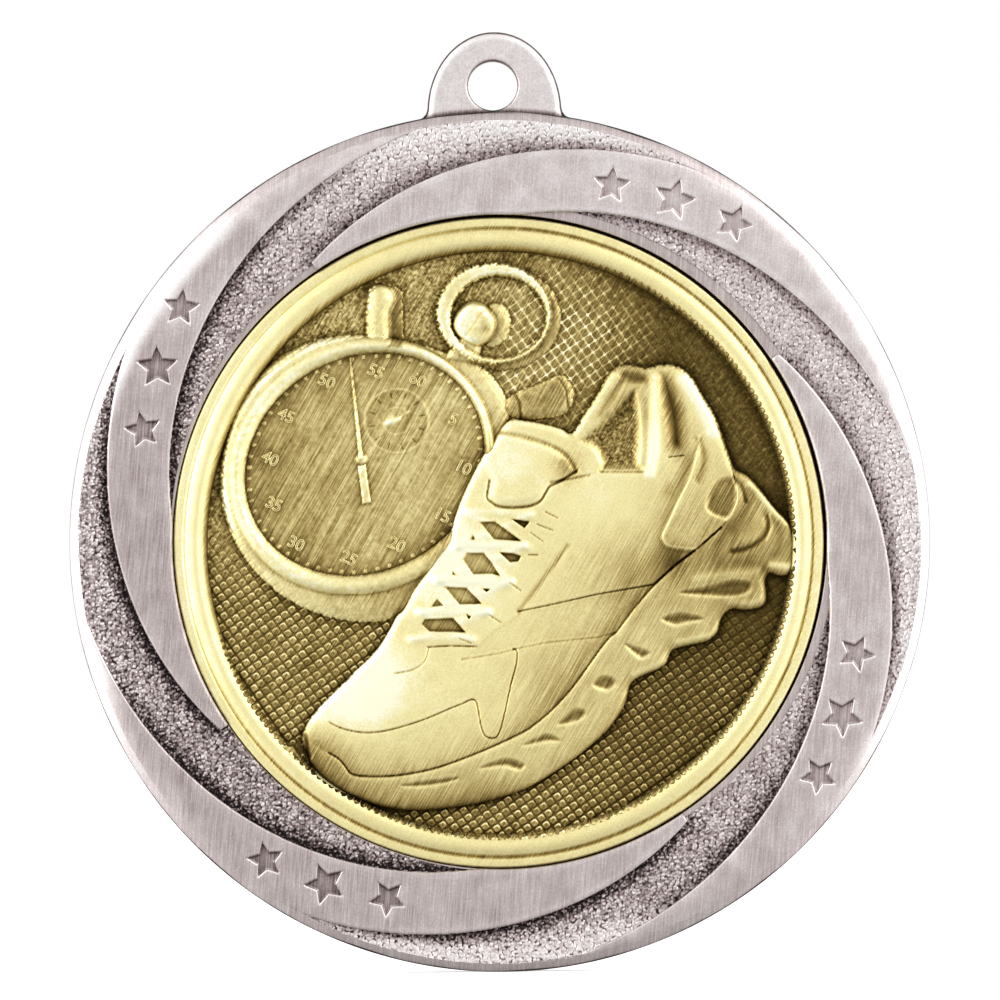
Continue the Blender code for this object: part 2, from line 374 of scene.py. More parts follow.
class Nodes:
    """A node tree written as a short list of steps."""

    def __init__(self, tree):
        self.tree = tree

    def node(self, kind, settings=(), **inputs):
        """Adds a shader node. An input is given by its name, or by its number after an underscore."""
        made = self.tree.nodes.new("ShaderNode" + kind)
        for key, value in dict(settings).items():
            setattr(made, key, value)
        for key, value in inputs.items():
            name = int(key[1:]) if key[1:].isdigit() else key.replace("_", " ")
            self.feed(made.inputs[name], value)
        return made

    def feed(self, socket, value):
        if isinstance(value, bpy.types.NodeSocket):
            self.tree.links.new(value, socket)
        else:
            socket.default_value = value

    def maths(self, operation, a, b=0.0, clamp=False):
        return self.node("Math", {"operation": operation, "use_clamp": clamp}, _0=a, _1=b).outputs[0]

    def smooth_step(self, value, low, high):
        settings = {"interpolation_type": "SMOOTHSTEP"}
        return self.node("MapRange", settings, Value=value, From_Min=low, From_Max=high).outputs[0]

    def noise(self, scale, detail=2.0, turn=0.0):
        """Noise stretched by three scales, in cells per metre, along axes turned about the medal's axis."""
        spot = self.node("TexCoord").outputs["Object"]
        turned = self.node("Mapping", Vector=spot, Rotation=(0.0, turn, 0.0)).outputs[0]
        scaled = self.node("Mapping", Vector=turned, Scale=scale).outputs[0]
        return self.node("TexNoise", Vector=scaled, Scale=1.0, Detail=detail).outputs[0]

    def ramp(self, factor, stops):
        node = self.node("ValToRGB", Fac=factor)
        band = node.color_ramp
        while len(band.elements) < len(stops):
            band.elements.new(0.5)
        for element, (position, colour) in zip(band.elements, stops):
            element.position = position
            element.color = (*colour, 1.0)
        return node.outputs[0]


class Shader(Nodes):
    """A material with one Principled surface."""

    def __init__(self, name):
        self.material = bpy.data.materials.new(name)
        self.material.use_nodes = True
        super().__init__(self.material.node_tree)
        self.surface = self.tree.nodes["Principled BSDF"]

    def set(self, **inputs):
        for key, value in inputs.items():
            self.feed(self.surface.inputs[key.replace("_", " ")], value)

    def bumps(self, *layers):
        """Stacks bump layers, each a (height, strength, depth in metres)."""
        normal = None
        for height, strength, depth in layers:
            bump = self.node("Bump", Height=height, Strength=strength, Distance=depth)
            if normal is not None:
                self.feed(bump.inputs["Normal"], normal)
            normal = bump.outputs[0]
        self.set(Normal=normal)


def antique(name, stops, brush_turn, brush_scale, brush_tone, brush_depth, roughness):
    """Plated and antiqued metal: dark in the hollows, rubbed bright and brushed on the high spots, and
    painted light and shade where the tone carries them.
    """
    shader = Shader(name)
    maths = shader.maths
    tone = shader.node("Attribute", {"attribute_name": "tone"}).outputs["Fac"]
    fine, long = brush_scale
    turn = math.radians(brush_turn)
    streaks = shader.noise((fine, long, long), 4.0, turn)
    scratches = shader.noise((fine * 3.1, long, long * 0.6), 2.0, turn)
    mottle = shader.noise((900.0,) * 3, 4.0)
    grain = shader.noise((6500.0,) * 3, 3.0)

    # The streaks show most on the middle tones.
    middle = maths("POWER", maths("MULTIPLY", tone, maths("SUBTRACT", 1.0, tone, clamp=True)), 3.0)
    wear_and_painted_light = tone
    patterns = ((streaks, maths("MULTIPLY", middle, brush_tone)), (grain, 0.25), (mottle, 0.12))
    for pattern, strength in patterns:
        wear_and_painted_light = maths("ADD", wear_and_painted_light, maths("MULTIPLY", maths("SUBTRACT", pattern, 0.5), strength))
    wear_and_painted_light = maths("ADD", wear_and_painted_light, 0.0, clamp=True)
    dull = maths("MULTIPLY", maths("SUBTRACT", 1.0, wear_and_painted_light), 0.25)
    rough = maths("ADD", dull, maths("MULTIPLY", grain, 0.16))
    rough = maths("ADD", rough, roughness - 0.08)
    shader.set(Base_Color=shader.ramp(wear_and_painted_light, stops), Metallic=1.0, Roughness=rough)
    shader.bumps((streaks, brush_depth, 0.00003), (scratches, 0.3, 0.00001), (grain, 0.2, 0.00001))
    return shader.material


SILVER_STOPS = (
    (0.0, (0.017, 0.013, 0.013)),
    (0.25, (0.1, 0.077, 0.075)),
    (0.5, (0.3, 0.24, 0.233)),
    (0.75, (0.56, 0.49, 0.477)),
    (1.0, (0.94, 0.9, 0.89)),
)
GOLD_STOPS = (
    (0.0, (0.025, 0.016, 0.004)),
    (0.2, (0.09, 0.06, 0.015)),
    (0.4, (0.24, 0.171, 0.053)),
    (0.6, (0.476, 0.369, 0.14)),
    (0.8, (0.79, 0.688, 0.33)),
    (0.9, (0.91, 0.825, 0.43)),
    (1.0, (1.0, 0.985, 0.74)),
)
SILVER, GOLD = "antique_silver", "antique_gold"
METALS = {
    SILVER: antique(SILVER, SILVER_STOPS, -5.0, (9000.0, 400.0), 50.0, 0.25, 0.34),
    GOLD: antique(GOLD, GOLD_STOPS, -30.0, (9500.0, 280.0), 65.0, 0.15, 0.4),
}


def foam():
    shader = Shader("white_foam")
    cells = shader.noise((4000.0,) * 3, 3.0)
    colour = shader.ramp(cells, ((0.3, (0.7, 0.7, 0.66)), (0.7, (0.88, 0.88, 0.85))))
    shader.set(Base_Color=colour, Roughness=0.9)
    shader.bumps((cells, 0.5, 0.00005))
    return shader.material


# ---- The silver frame


def rim_level(radius):
    """Height of the band tops and the rim, level inside and rolling off to the edge."""
    t = np.clip((radius - DISC_RADIUS + RIM_SPAN) / RIM_SPAN, 0, 1)
    return BAND_TOP - RIM_FALL * (1 - np.sqrt(1 - t * t))


def frame_body():
    """Pocket, seat lip, the floor under the bands, the rounded rim, the edge and the flat back."""
    ring_floor = RING_FOOT + 0.1
    seat_top = PEBBLE_FLOOR - 0.1
    seat_soft, lip_soft = 0.12, 0.1
    profile = [(0.0, POCKET_FLOOR), (SEAT_RADIUS, POCKET_FLOOR), (SEAT_RADIUS, seat_top - seat_soft)]
    profile += arc(SEAT_RADIUS + seat_soft, seat_top - seat_soft, seat_soft, 180, 90, 4)
    profile += arc(LIP_RADIUS - lip_soft, seat_top - lip_soft, lip_soft, 90, 0, 4)
    profile += [(LIP_RADIUS, ring_floor), (RIM_INNER, ring_floor)]
    for share in np.linspace(0, 1, 20):
        radius = DISC_RADIUS - (DISC_RADIUS - RIM_INNER) * (1 - share) ** 2
        profile.append((radius, rim_level(radius)))
    profile += arc(DISC_RADIUS - BACK_ROUND, BACK_ROUND, BACK_ROUND, 0, -90, 8)
    profile += [(FIELD_RADIUS, 0.0), (0.0, 0.0)]
    body = turned_solid("frame_body", SILVER, profile, frame_tone)
    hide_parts("medal_frame")


def frame_tone(radius, level, turn):
    """Painted shade in the pocket's wall and under the bands, plain on the back and the lip, and painted
    light on the rim.
    """
    if radius <= SEAT_RADIUS + 0.01 and 1 < level < PEBBLE_FLOOR - 0.2:
        return 0.05
    if LIP_RADIUS - 0.05 < radius <= RIM_INNER and level < PEBBLE_FLOOR:
        return 0.15
    if level < BACK_ROUND:
        return 0.75
    if radius < RIM_INNER:
        return 0.7
    # Painted highlights whiten the rim at the left and right, where rubbed is raised, and a painted dark
    # broken line runs along the very edge.
    line = 0.05 + 0.07 * np.abs(np.sin(turn)) * (1 + np.sin(9 * turn) * np.sin(23 * turn + 1))
    side_highlight = ease((np.abs(np.cos(turn)) + 0.15 * np.sin(turn) - 0.6) / 0.3)
    rubbed = 0.72 + (0.21 + 0.05 * np.cos(turn)) * side_highlight
    return rubbed - 0.6 * ease((radius - DISC_RADIUS + line) / 0.04)


BANDS = 4
STARS = ((17.4, 30.4, 1.5), (27.0, 31.25, 1.7), (36.3, 32.15, 1.5))  # angle on the band, distance, size


def spiral(angle, start, radius, climb, bend):
    """Radius of a spiral that has a given radius at its start and climbs by so much per degree."""
    return radius + climb * (angle - start) + bend * (angle - start) ** 2


def swirl(grid):
    """Signed distances to the swirl bands."""
    radius = grid.radius
    clockwise = np.degrees(np.arctan2(grid.u, grid.v))
    tip_angle, tail_angle = -34, 95
    bands = []
    for turn in range(BANDS):
        angle = (clockwise - 90 * turn + 180) % 360 - 180
        angle = np.where(angle < -100, angle + 360, angle)
        inner = spiral(angle, 7, 26.95, 0.098, 0.00003)
        outer = spiral(angle, -35, 27.25, 0.123, -0.00017)
        tip = (tip_angle - angle) * math.radians(1) * radius
        across = np.maximum(inner - radius, radius - outer) * 0.98
        bands.append(np.maximum.reduce((across, tip, angle - tail_angle)))
    return bands


def star(radius, centre, angle, waist=0.48, lean=11.0):
    """A five-pointed star at a distance and a clockwise angle, one point outwards."""
    turn = math.radians(angle)
    u, v = centre * math.sin(turn), centre * math.cos(turn)
    points = []
    for i in range(10):
        reach = radius if i % 2 == 0 else radius * waist
        heading = math.radians(36 * i + angle - lean)
        points.append((u + reach * math.sin(heading), v + reach * math.cos(heading)))
    return points


def cobbles(grid, pitch, seed):
    """Heights of small irregular domes packed side by side, 1 at their crests and 0 in the creases."""
    size = 1024
    jitter = np.random.default_rng(seed).uniform(0.0, 1.0, (3, size, size))
    c, s = 0.83, 0.56  # the rows of domes run askew
    along = grid.u * c + grid.v * s + 0.09 * grid.grain(seed + 1, 0.12)
    across = grid.v * c - grid.u * s + 0.09 * grid.grain(seed + 2, 0.12)
    column, row = np.floor(along / pitch).astype(int), np.floor(across / pitch).astype(int)
    nearest = np.full(grid.u.shape, FAR)
    crest = np.zeros(grid.u.shape)
    for i in (-1, 0, 1):
        for j in (-1, 0, 1):
            a, b = (column + i) % size, (row + j) % size
            off_along = along - (column + i + jitter[0, a, b]) * pitch
            off_across = across - (row + j + jitter[1, a, b]) * pitch
            distance = np.hypot(off_along, off_across)
            closer = distance < nearest
            nearest = np.where(closer, distance, nearest)
            crest = np.where(closer, 0.4 + 0.6 * jitter[2, a, b], crest)
    return crest * np.clip(1 - (nearest / (0.8 * pitch)) ** 2, 0, 1)


def ring_relief():
    """The raised swirl bands with their sunk stars, and the pebbled floor between them."""
    grid = Grid(DISC_RADIUS - 0.6, RING_PITCH)
    radius = grid.radius
    bands = swirl(grid)
    joined = np.minimum.reduce(bands)
    slant = (grid.u + grid.v) / DISC_RADIUS  # towards the light at the upper right

    # The domes are rubbed flatter towards the light and near the rim.
    domes = cobbles(grid, 0.22, 7)
    outer = ease((radius - 31.0) / 3.0) * ease((np.abs(grid.v) - 14) / 10)
    domes += np.maximum(0.6 * outer, 0.35 * ease((slant + 0.2) / 0.8)) * (0.8 * ease(domes / 0.35) - domes)
    pebbles = PEBBLE_FLOOR + 0.13 * (domes - 0.5)
    pebbles += 0.08 * ease((joined - 0.1) / 1.5) + 0.25 * ease((radius - 31.8) / 2.6)

    starred = np.full(grid.u.shape, FAR)
    for turn in range(BANDS):
        for angle, centre, size in STARS:
            starred = np.minimum(starred, grid.distance(star(size, centre, angle + 90 * turn)))
    tops = rim_level(radius) + 0.006 * grid.grain(9, 0.7)
    tops -= 0.15 * (1 - rounded(-joined / 0.25))
    tops -= 0.2 * (1 - rounded((radius - SEAT_RADIUS - 0.03) / 0.3))
    tops -= 0.24 * ease((0.05 - starred) / 0.15)

    whole = np.where(joined < 0, tops, pebbles)
    # The tones are painted brighter towards the light at the upper right along slant; the hollows are dark
    # with patina.
    band_tone = 0.7 + 0.05 * slant - 1.2 * np.clip(grid.blur(whole, 0.3) - whole, -0.04, 1)
    band_tone += star_shade(grid, starred, slant) + painted_rim_highlight(grid)
    band_tone += 0.04 * grid.grain(11, 0.5) + 0.05 * np.abs(grid.v) / DISC_RADIUS
    hollow = np.clip(grid.blur(whole, 0.9) - whole - 0.02, 0, 1)
    pebble_tone = 0.24 + 0.14 * slant + 0.08 * outer + 0.08 * ease((radius - 30.5) / 2)
    pebble_tone += (0.76 - 0.15 * slant) * domes - (1.8 - 0.4 * slant) * hollow

    under_rim = radius - RIM_INNER - 0.1
    border = np.maximum(under_rim, SEAT_RADIUS + 0.03 - radius)
    for turn, band in enumerate(bands):
        name = f"swirl_band_{turn + 1}"
        relief_solid(name, SILVER, grid, np.maximum(band, border), tops, RING_FOOT, band_tone)

    # The pebbles stop short of the seat at the upper right, where its smooth lip shows.
    lip = SEAT_RADIUS + 0.5 - np.hypot(grid.u - 0.3, grid.v - 0.3)
    floor = np.maximum.reduce((under_rim, lip, -0.15 - joined))
    clockwise = np.degrees(np.arctan2(grid.u, grid.v))
    for turn in range(BANDS):
        # The floors meet on spirals under the bands, where no joint shows.
        sector = (clockwise - 17 - 9.1 * (radius - 30.5) - 90 * turn + 720) % 360
        region = np.maximum(floor, np.where(sector < 90, -1.0, 1.0))
        relief_solid(f"pebbled_floor_{turn + 1}", SILVER, grid, region, pebbles, RING_FOOT, pebble_tone)


def star_shade(grid, starred, slant):
    """Stars are darker inside, most of all away from the light, with lit lower edges and dark upper ones."""
    upward = np.gradient(np.clip(starred, -1, 1), grid.pitch)[0]
    inside = (0.05 + 0.13 * ease((1.2 - slant) / 1.8)) * ease(-starred / 0.12)
    return -inside - 0.35 * upward * bell(starred, 0.1)


def painted_rim_highlight(grid):
    """Painted highlights on the bands along the left and right of the rim, weaker low down."""
    right = ease(grid.u / 10)
    near_rim = ease((grid.radius - 32.6 - 0.9 * right) / 1.3)
    beside = ease((np.abs(grid.u) - 18 - 4 * right) / 8)
    return 0.28 * near_rim * beside * (1 - 0.85 * ease((-8 - 5 * right - grid.v) / 8))


LUG_OVAL = (DISC_RADIUS, 5.45, LUG_TOP - DISC_RADIUS)  # centre, half width, half height
LUG_HOLE = (-0.12, 37.15, 2.02)


def lug():
    """The ribbon lug: an oval plate with a fillet at its foot, soft edges and a round hole."""
    middle = 36.5
    grid = Grid(8.0, RING_PITCH)
    grid.v = grid.v + middle
    radius = grid.radius
    hole_u, hole_v, hole_radius = LUG_HOLE
    hole = hole_radius - np.hypot(grid.u - hole_u, grid.v - hole_v)
    plate = oval_distance(grid, *LUG_OVAL)
    blend = 0.9
    disc = radius - DISC_RADIUS
    fillet = np.minimum(plate, disc) - blend * np.clip(1 - np.abs(plate - disc) / blend, 0, 1) ** 2 / 4
    inside_disc = DISC_RADIUS - 1.4 - grid.v
    region = np.maximum.reduce((fillet, hole, inside_disc, np.abs(grid.u) - 7.4))
    height = LUG_THICKNESS - 0.45 * (1 - rounded(-fillet / 0.6)) - 0.2 * (1 - rounded(-hole / 0.25))
    height += 0.01 * grid.grain(21, 0.5)
    # Painted shade where the lug meets the rim, a painted highlight just inside the edge and a painted dark
    # line along it; darker round the hole.
    tone = 0.86 - 0.6 * ease((DISC_RADIUS + 0.45 - radius) / 0.5)
    tone += 0.12 * bell(fillet + 0.4, 0.2) - 0.75 * ease((fillet + 0.17) / 0.1)
    tone -= 0.4 * ease((0.15 + hole) / 0.15)
    back = 0.02  # the disc's flat back covers the lug's foot
    relief_solid("ribbon_lug", SILVER, grid, region, height, back, tone, 0.72, turn=0.0)


def oval_distance(grid, centre, half_width, half_height):
    """Approximate signed distance to an upright oval on the medal's axis."""
    a, b = grid.u / half_width, (grid.v - centre) / half_height
    reach = np.sqrt(a * a + b * b)
    slope = np.sqrt((a / half_width) ** 2 + (b / half_height) ** 2)
    return (reach - 1) * reach / np.maximum(slope, 1e-6)


# ---- The gold insert


BEAD_HALF = 1.0
BEAD_CREST = FIELD_RADIUS + BEAD_HALF
RIM_GROOVE = BEAD_CREST + 0.85


def insert_body():
    """The insert's edge, its rim of a wide bead and a thin outer lip, and the plate under the relief."""
    plate = RELIEF_FOOT + 0.1
    profile = [(0.0, plate), (FIELD_RADIUS - 0.2, plate), (FIELD_RADIUS - 0.05, FIELD - 0.05)]
    for degrees in range(170, 85, -8):
        turn = math.radians(degrees)
        profile.append((BEAD_CREST + BEAD_HALF * math.cos(turn), FIELD + RIM_HEIGHT * math.sin(turn)))
    for share in (0.25, 0.5, 0.75, 0.9, 1.0):
        profile.append((BEAD_CREST + share * (RIM_GROOVE - BEAD_CREST), INSERT_TOP - 0.3 * share**2))
    profile += arc(RIM_GROOVE + 0.3, INSERT_TOP - 0.5, 0.3, 150, 80, 4)
    profile += arc(INSERT_RADIUS - 0.2, INSERT_TOP - 0.42, 0.2, 85, 0, 5)
    profile += [(INSERT_RADIUS, INSERT_BACK), (0.0, INSERT_BACK)]
    body = turned_solid("insert_body", GOLD, profile, insert_tone, shift=INSERT_SHIFT)
    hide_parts("centre_insert")


def insert_tone(radius, level, turn):
    """Plain under the relief and bright on the rim, with painted shade on the outer wall, in the groove,
    which fades to the left, on the inner slope at the upper left, and a little at the top and bottom.
    """
    if radius < FIELD_RADIUS + 0.1:
        return 0.3
    if level < INSERT_TOP - 0.55 and radius > RIM_GROOVE:
        return 0.2
    groove = 0.32 * ease((0.85 - np.cos(turn - 2.7)) / 0.6) - 0.05
    upper = 0.3 * ease(0.3 + np.sin(turn - 0.5)) * ease((BEAD_CREST - 0.3 - radius) / 0.6)
    return 0.9 - 0.06 * np.sin(turn) ** 2 - groove * (abs(radius - RIM_GROOVE) < 0.2) - upper


CELL_RISE = 0.15
CELL_PITCH = 0.69
PEARL_RADIUS = FIELD_RADIUS + 0.25
PEARL_PITCH = 2 * math.pi * PEARL_RADIUS / 250
RAGGED = 0.09  # the field's pads leave toothed edges on what stands on it


def hatch(grid):
    """Rows of small square pads with soft corners. Gives their height, and their brighter tops with a
    painted highlight along each upper edge, each about 0 to 1.
    """
    c, s = math.cos(math.radians(35)), math.sin(math.radians(35))
    along = (grid.u * c + grid.v * s) / CELL_PITCH
    across = (grid.v * c - grid.u * s) / CELL_PITCH
    a = 2 * (along - np.floor(along)) - 1
    b = 2 * (across - np.floor(across)) - 1
    table = np.random.default_rng(3).uniform(0.7, 1.1, (256, 256))
    each = table[np.floor(along).astype(int) % 256, np.floor(across).astype(int) % 256]
    size = (a**4 + b**4) ** 0.25
    pad = each * ease((1.0 - size) / 0.32) * (1 - 0.4 * bell(size, 0.35))
    # A painted highlight along each pad's upper edge.
    upper = bell(size - 0.6, 0.15) * np.clip((a * s + b * c) / np.maximum(size, 0.1), 0, 1)
    return pad, 0.4 * pad + 0.95 * upper * each


# ---- The stopwatch


# Ovals are centre u, centre v, half length, half width and tilt.
DIAL = (-10.9, 6.4, 10.1, 8.7, 31.0)
BEZEL = (-11.2, 6.2, 11.25, 10.25, 31.0)
CASE_RISE = 0.42
CASE_ROUND = 1.3
DIAL_FLOOR = 0.4
CASE = (
    (-22.7, 5.0), (-22.4, 8.0), (-21.3, 11.3), (-19.3, 14.0), (-16.5, 15.9), (-13.5, 16.8), (-10.0, 16.9),
    (-6.5, 16.2), (-3.8, 15.3), (-2.0, 14.7), (-0.6, 13.7), (0.5, 12.0), (0.9, 10.1), (0.0, 4.0),
    (-4.0, -4.0), (-8.0, -6.0), (-10.0, -6.5), (-12.0, -6.45), (-14.0, -6.05), (-16.0, -5.3), (-18.0, -4.1),
    (-20.0, -2.2), (-21.6, 0.2), (-22.5, 2.8),
)
CROWN = ((-3.7, 17.2), (-3.5, 18.6), (-2.4, 19.6), (-1.1, 19.4), (-0.1, 18.1), (-0.5, 16.6), (-2.0, 15.9))
UPRIGHT_CAP = (
    (-10.7, 16.2), (-10.75, 19.9), (-10.3, 20.9), (-9.3, 21.0), (-8.6, 20.5), (-8.4, 19.7), (-8.8, 18.6),
    (-8.9, 16.2),
)
SIDE_BUTTON = (
    (0.4, 11.0), (1.0, 12.0), (2.4, 12.6), (3.9, 13.2), (5.0, 13.7), (5.7, 13.2), (6.2, 12.2), (6.0, 11.2),
    (5.4, 10.4), (4.0, 10.1), (1.5, 10.0),
)


def stopwatch(grid, pads):
    """The stopwatch's height above the field with its shade, and its outline."""
    relief = Relief(grid)
    ragged = RAGGED * (pads - 0.5)
    case = grid.distance(curve(CASE)) - ragged
    relief.raise_to(case, CASE_RISE, CASE_ROUND)
    outlines = [case, *bow_and_crown(relief, ragged), *push_buttons(relief, ragged)]
    dial = bezel_and_dial(relief, case)
    dial_face(relief, dial)
    small_seconds(relief)
    hands(relief)
    return relief, np.minimum.reduce(outlines)


def bow_and_crown(relief, ragged):
    """The bow ring over its darker side, the crown with its lobe, and the neck between crown and case."""
    grid = relief.grid
    side = grid.distance(oval(0.25, 18.3, 4.85, 4.25)) - ragged
    bow = grid.distance(oval(-0.4, 18.65, 4.75, 4.2)) - ragged * (1 + (grid.u < 0))
    eye = grid.distance(oval(0.0, 18.35, 3.8, 3.3)) + ragged
    ring = np.maximum(bow, -eye)
    side_ring = np.maximum(side, 0.1 - eye)
    neck = grid.distance([(-4.6, 14.8), (-3.7, 16.3), (-2.9, 17.2), (-1.2, 16.6), (-1.6, 14.4)])
    lobe = grid.distance(oval(-0.35, 17.7, 1.85, 1.35, 80)) - ragged
    crown = grid.distance(curve(CROWN))
    relief.raise_to(side_ring, 0.3, 0.4)
    # Painted shade on the bow ring's side.
    relief.shade -= 0.3 * ease(-side_ring / 0.1) * ease((ring + 0.05) / 0.2)
    relief.raise_to(ring, 0.7, 0.45)
    relief.shade += 0.06 * ease(-ring / 0.4) - 0.2 * fading(ring, 0.12)
    relief.raise_to(neck, 0.5, 0.8)
    relief.raise_to(lobe, 0.5, 0.9)
    # Painted shade on the lobe, the crown's side.
    relief.shade -= 0.14 * ease(-lobe / 0.3) * ease((crown + 0.1) / 0.2)
    relief.raise_to(crown, 0.95, 0.8)
    relief.shade -= 0.3 * fading(crown, 0.12) * (lobe < 0)
    # Painted highlights on the crown's upper left, and painted shade at its lower right.
    relief.swell(-2.5, 18.3, 1.0, 0.0, 0.2)
    relief.swell(-3.0, 16.6, 0.8, 0.0, 0.2)
    relief.swell(-1.0, 17.3, 0.7, -0.06, -0.16)
    relief.crease(0.2, 0.05, -0.08, (-2.6, 16.9), (-1.3, 18.9))
    return side_ring, ring, neck, lobe, crown


def push_buttons(relief, ragged):
    """The upright button with its darker side, and the slanted button beside the case."""
    grid = relief.grid
    stem = grid.distance([(-9.6, 15.8), (-7.7, 15.8), (-7.8, 20.4), (-8.4, 20.9), (-9.6, 20.9)]) - ragged
    cap = grid.distance(curve(UPRIGHT_CAP)) - ragged * (grid.u < -10)
    relief.raise_to(stem, 0.22, 0.5)
    # Painted shade on the stem beside the cap.
    relief.shade -= 0.35 * ease(-stem / 0.2) * ease(cap / 0.2)
    relief.raise_to(cap, 0.7, 1.1)
    button = grid.distance(curve(SIDE_BUTTON)) - ragged
    relief.raise_to(button, 0.45, 0.8)
    relief.shade -= 0.22 * ease(-button / 0.3)
    relief.score([(4.9, 13.4), (5.5, 12.4), (5.7, 10.9)], 0.16, 0.1, -0.15)
    relief.score([(1.2, 12.4), (1.7, 11.4), (1.8, 10.2)], 0.25, 0.12, -0.2)
    return stem, cap, button


def bezel_and_dial(relief, case):
    """The hoop of the bezel, which swells into the case at the upper left, and the sunk dial inside it."""
    grid = relief.grid
    bezel = grid.distance(oval(*BEZEL))
    dial = grid.distance(oval(*DIAL))
    across = np.clip(-bezel / np.maximum(dial - bezel, 0.2), 0, 1)
    arch = np.sin(math.pi * across)
    on_bezel = (bezel < 0) & (dial > -0.05)
    upper_left = ease((grid.v + 2) / 6) * ease((-4 - grid.u) / 5)
    swelling = upper_left * ease(1 - bezel / 1.6)
    shoulder = (CASE_RISE + 0.32 * swelling) * rounded(-case / CASE_ROUND)
    shoulder *= (across < 0.5) & (dial > 0)
    relief.height = np.maximum(relief.height, shoulder)
    relief.height = np.maximum(relief.height, on_bezel * (CASE_RISE + 0.42 * arch**0.8))
    # A painted highlight along the bezel's crest, and painted light on the case at the upper left.
    relief.shade += 0.1 * on_bezel * arch + 0.14 * swelling * (bezel > 0) * (case < 0)
    relief.height = np.where(dial < 0, DIAL_FLOOR + 0.12 * np.exp(dial / 0.25), relief.height)
    relief.shade -= np.where(dial < 0, 0.12 + 0.4 * np.exp(dial / 0.3), 0.0)
    return dial


NUMERALS = {
    "60": (-6.6, 13.2), "5": (-3.7, 10.0), "10": (-2.9, 6.1), "15": (-4.6, 2.2), "20": (-8.3, -0.2),
    "25": (-12.2, -1.3), "30": (-16.5, -0.1), "35": (-18.3, 3.1), "40": (-18.6, 6.8), "45": (-17.3, 10.3),
    "50": (-14.0, 13.1), "55": (-10.0, 13.9),
}


def dial_face(relief, dial):
    """Ticks round the dial, painted shade round the numerals and near the dial's lower right edge, and
    scratches.
    """
    grid = relief.grid
    u, v, half_long, half_short, tilt = DIAL
    c, s = math.cos(math.radians(tilt)), math.sin(math.radians(tilt))
    along = ((grid.u - u) * c + (grid.v - v) * s) / half_long
    across = ((grid.v - v) * c - (grid.u - u) * s) / half_short
    reach = np.hypot(along, across)
    phase = np.degrees(np.arctan2(across, along)) % 6 - 3
    ticks = (np.abs(phase) < 0.8) & (reach > 0.95) & (reach < 0.985)
    relief.height += 0.06 * ticks
    relief.shade += 0.14 * ticks
    # Painted shade round each numeral.
    for u, v in NUMERALS.values():
        relief.swell(u, v, 0.75, 0.0, -0.2)
    relief.shade += 0.06 * grid.grain(51, 0.1) + 0.05 * grid.grain(52, 1.2)
    relief.shade += (0.07 * grid.scratches(30.0, 0.15, 53) - 0.1 * ease((-9 - grid.u) / 8)) * (dial < 0)
    # Painted shade near the dial's lower right edge.
    relief.shade -= 0.12 * ease((reach - 0.8) / 0.2) * ease((grid.u - grid.v + 14) / 12)


def small_seconds(relief):
    """The small seconds dial: two thin rings, a dark ring of ticks, and its hand."""
    u, v = -8.3, 9.9
    rings = ((2.6, 0.14, -0.04, 0.08), (1.1, 0.1, -0.03, 0.05), (2.3, 0.5, 0.0, -0.08))
    for radius, width, depth, shade in rings:
        relief.score(oval(u, v, radius, radius), width, depth, shade, True)
    for turn in range(12):
        heading = math.radians(30 * turn + 12)
        c, s = math.cos(heading), math.sin(heading)
        relief.crease(0.08, 0.04, -0.25, (u + 1.9 * c, v + 1.9 * s), (u + 2.3 * c, v + 2.3 * s))
    relief.crease(0.3, -0.1, 0.15, (-9.1, 9.7), (-8.1, 10.1))
    relief.crease(0.12, -0.05, 0.12, (-8.2, 10.1), (-7.3, 10.7))
    relief.swell(-8.7, 9.9, 0.45, 0.12, 0.15)


def hands(relief):
    """The long hand with its wide tail, and the hub they turn on."""
    grid = relief.grid
    hand = grid.distance([(-12.17, 15.1), (-12.03, 15.1), (-10.98, 6.8), (-11.42, 6.8)])
    tail = grid.distance([(-11.5, 6.3), (-10.8, 6.4), (-10.35, 3.25), (-11.1, 3.1)])
    hand = np.minimum(hand, tail)
    relief.raise_to(hand, 0.56, 0.12)
    relief.shade += 0.2 * ease(-hand / 0.1) - 0.2 * fading(hand, 0.12) * (hand > 0)
    hub = grid.distance(oval(-11.2, 6.8, 0.6, 0.55, steps=32))
    relief.raise_to(hub, 0.66, 0.4)
    relief.shade += 0.1 * ease(-hub / 0.3)


# ---- The running shoe


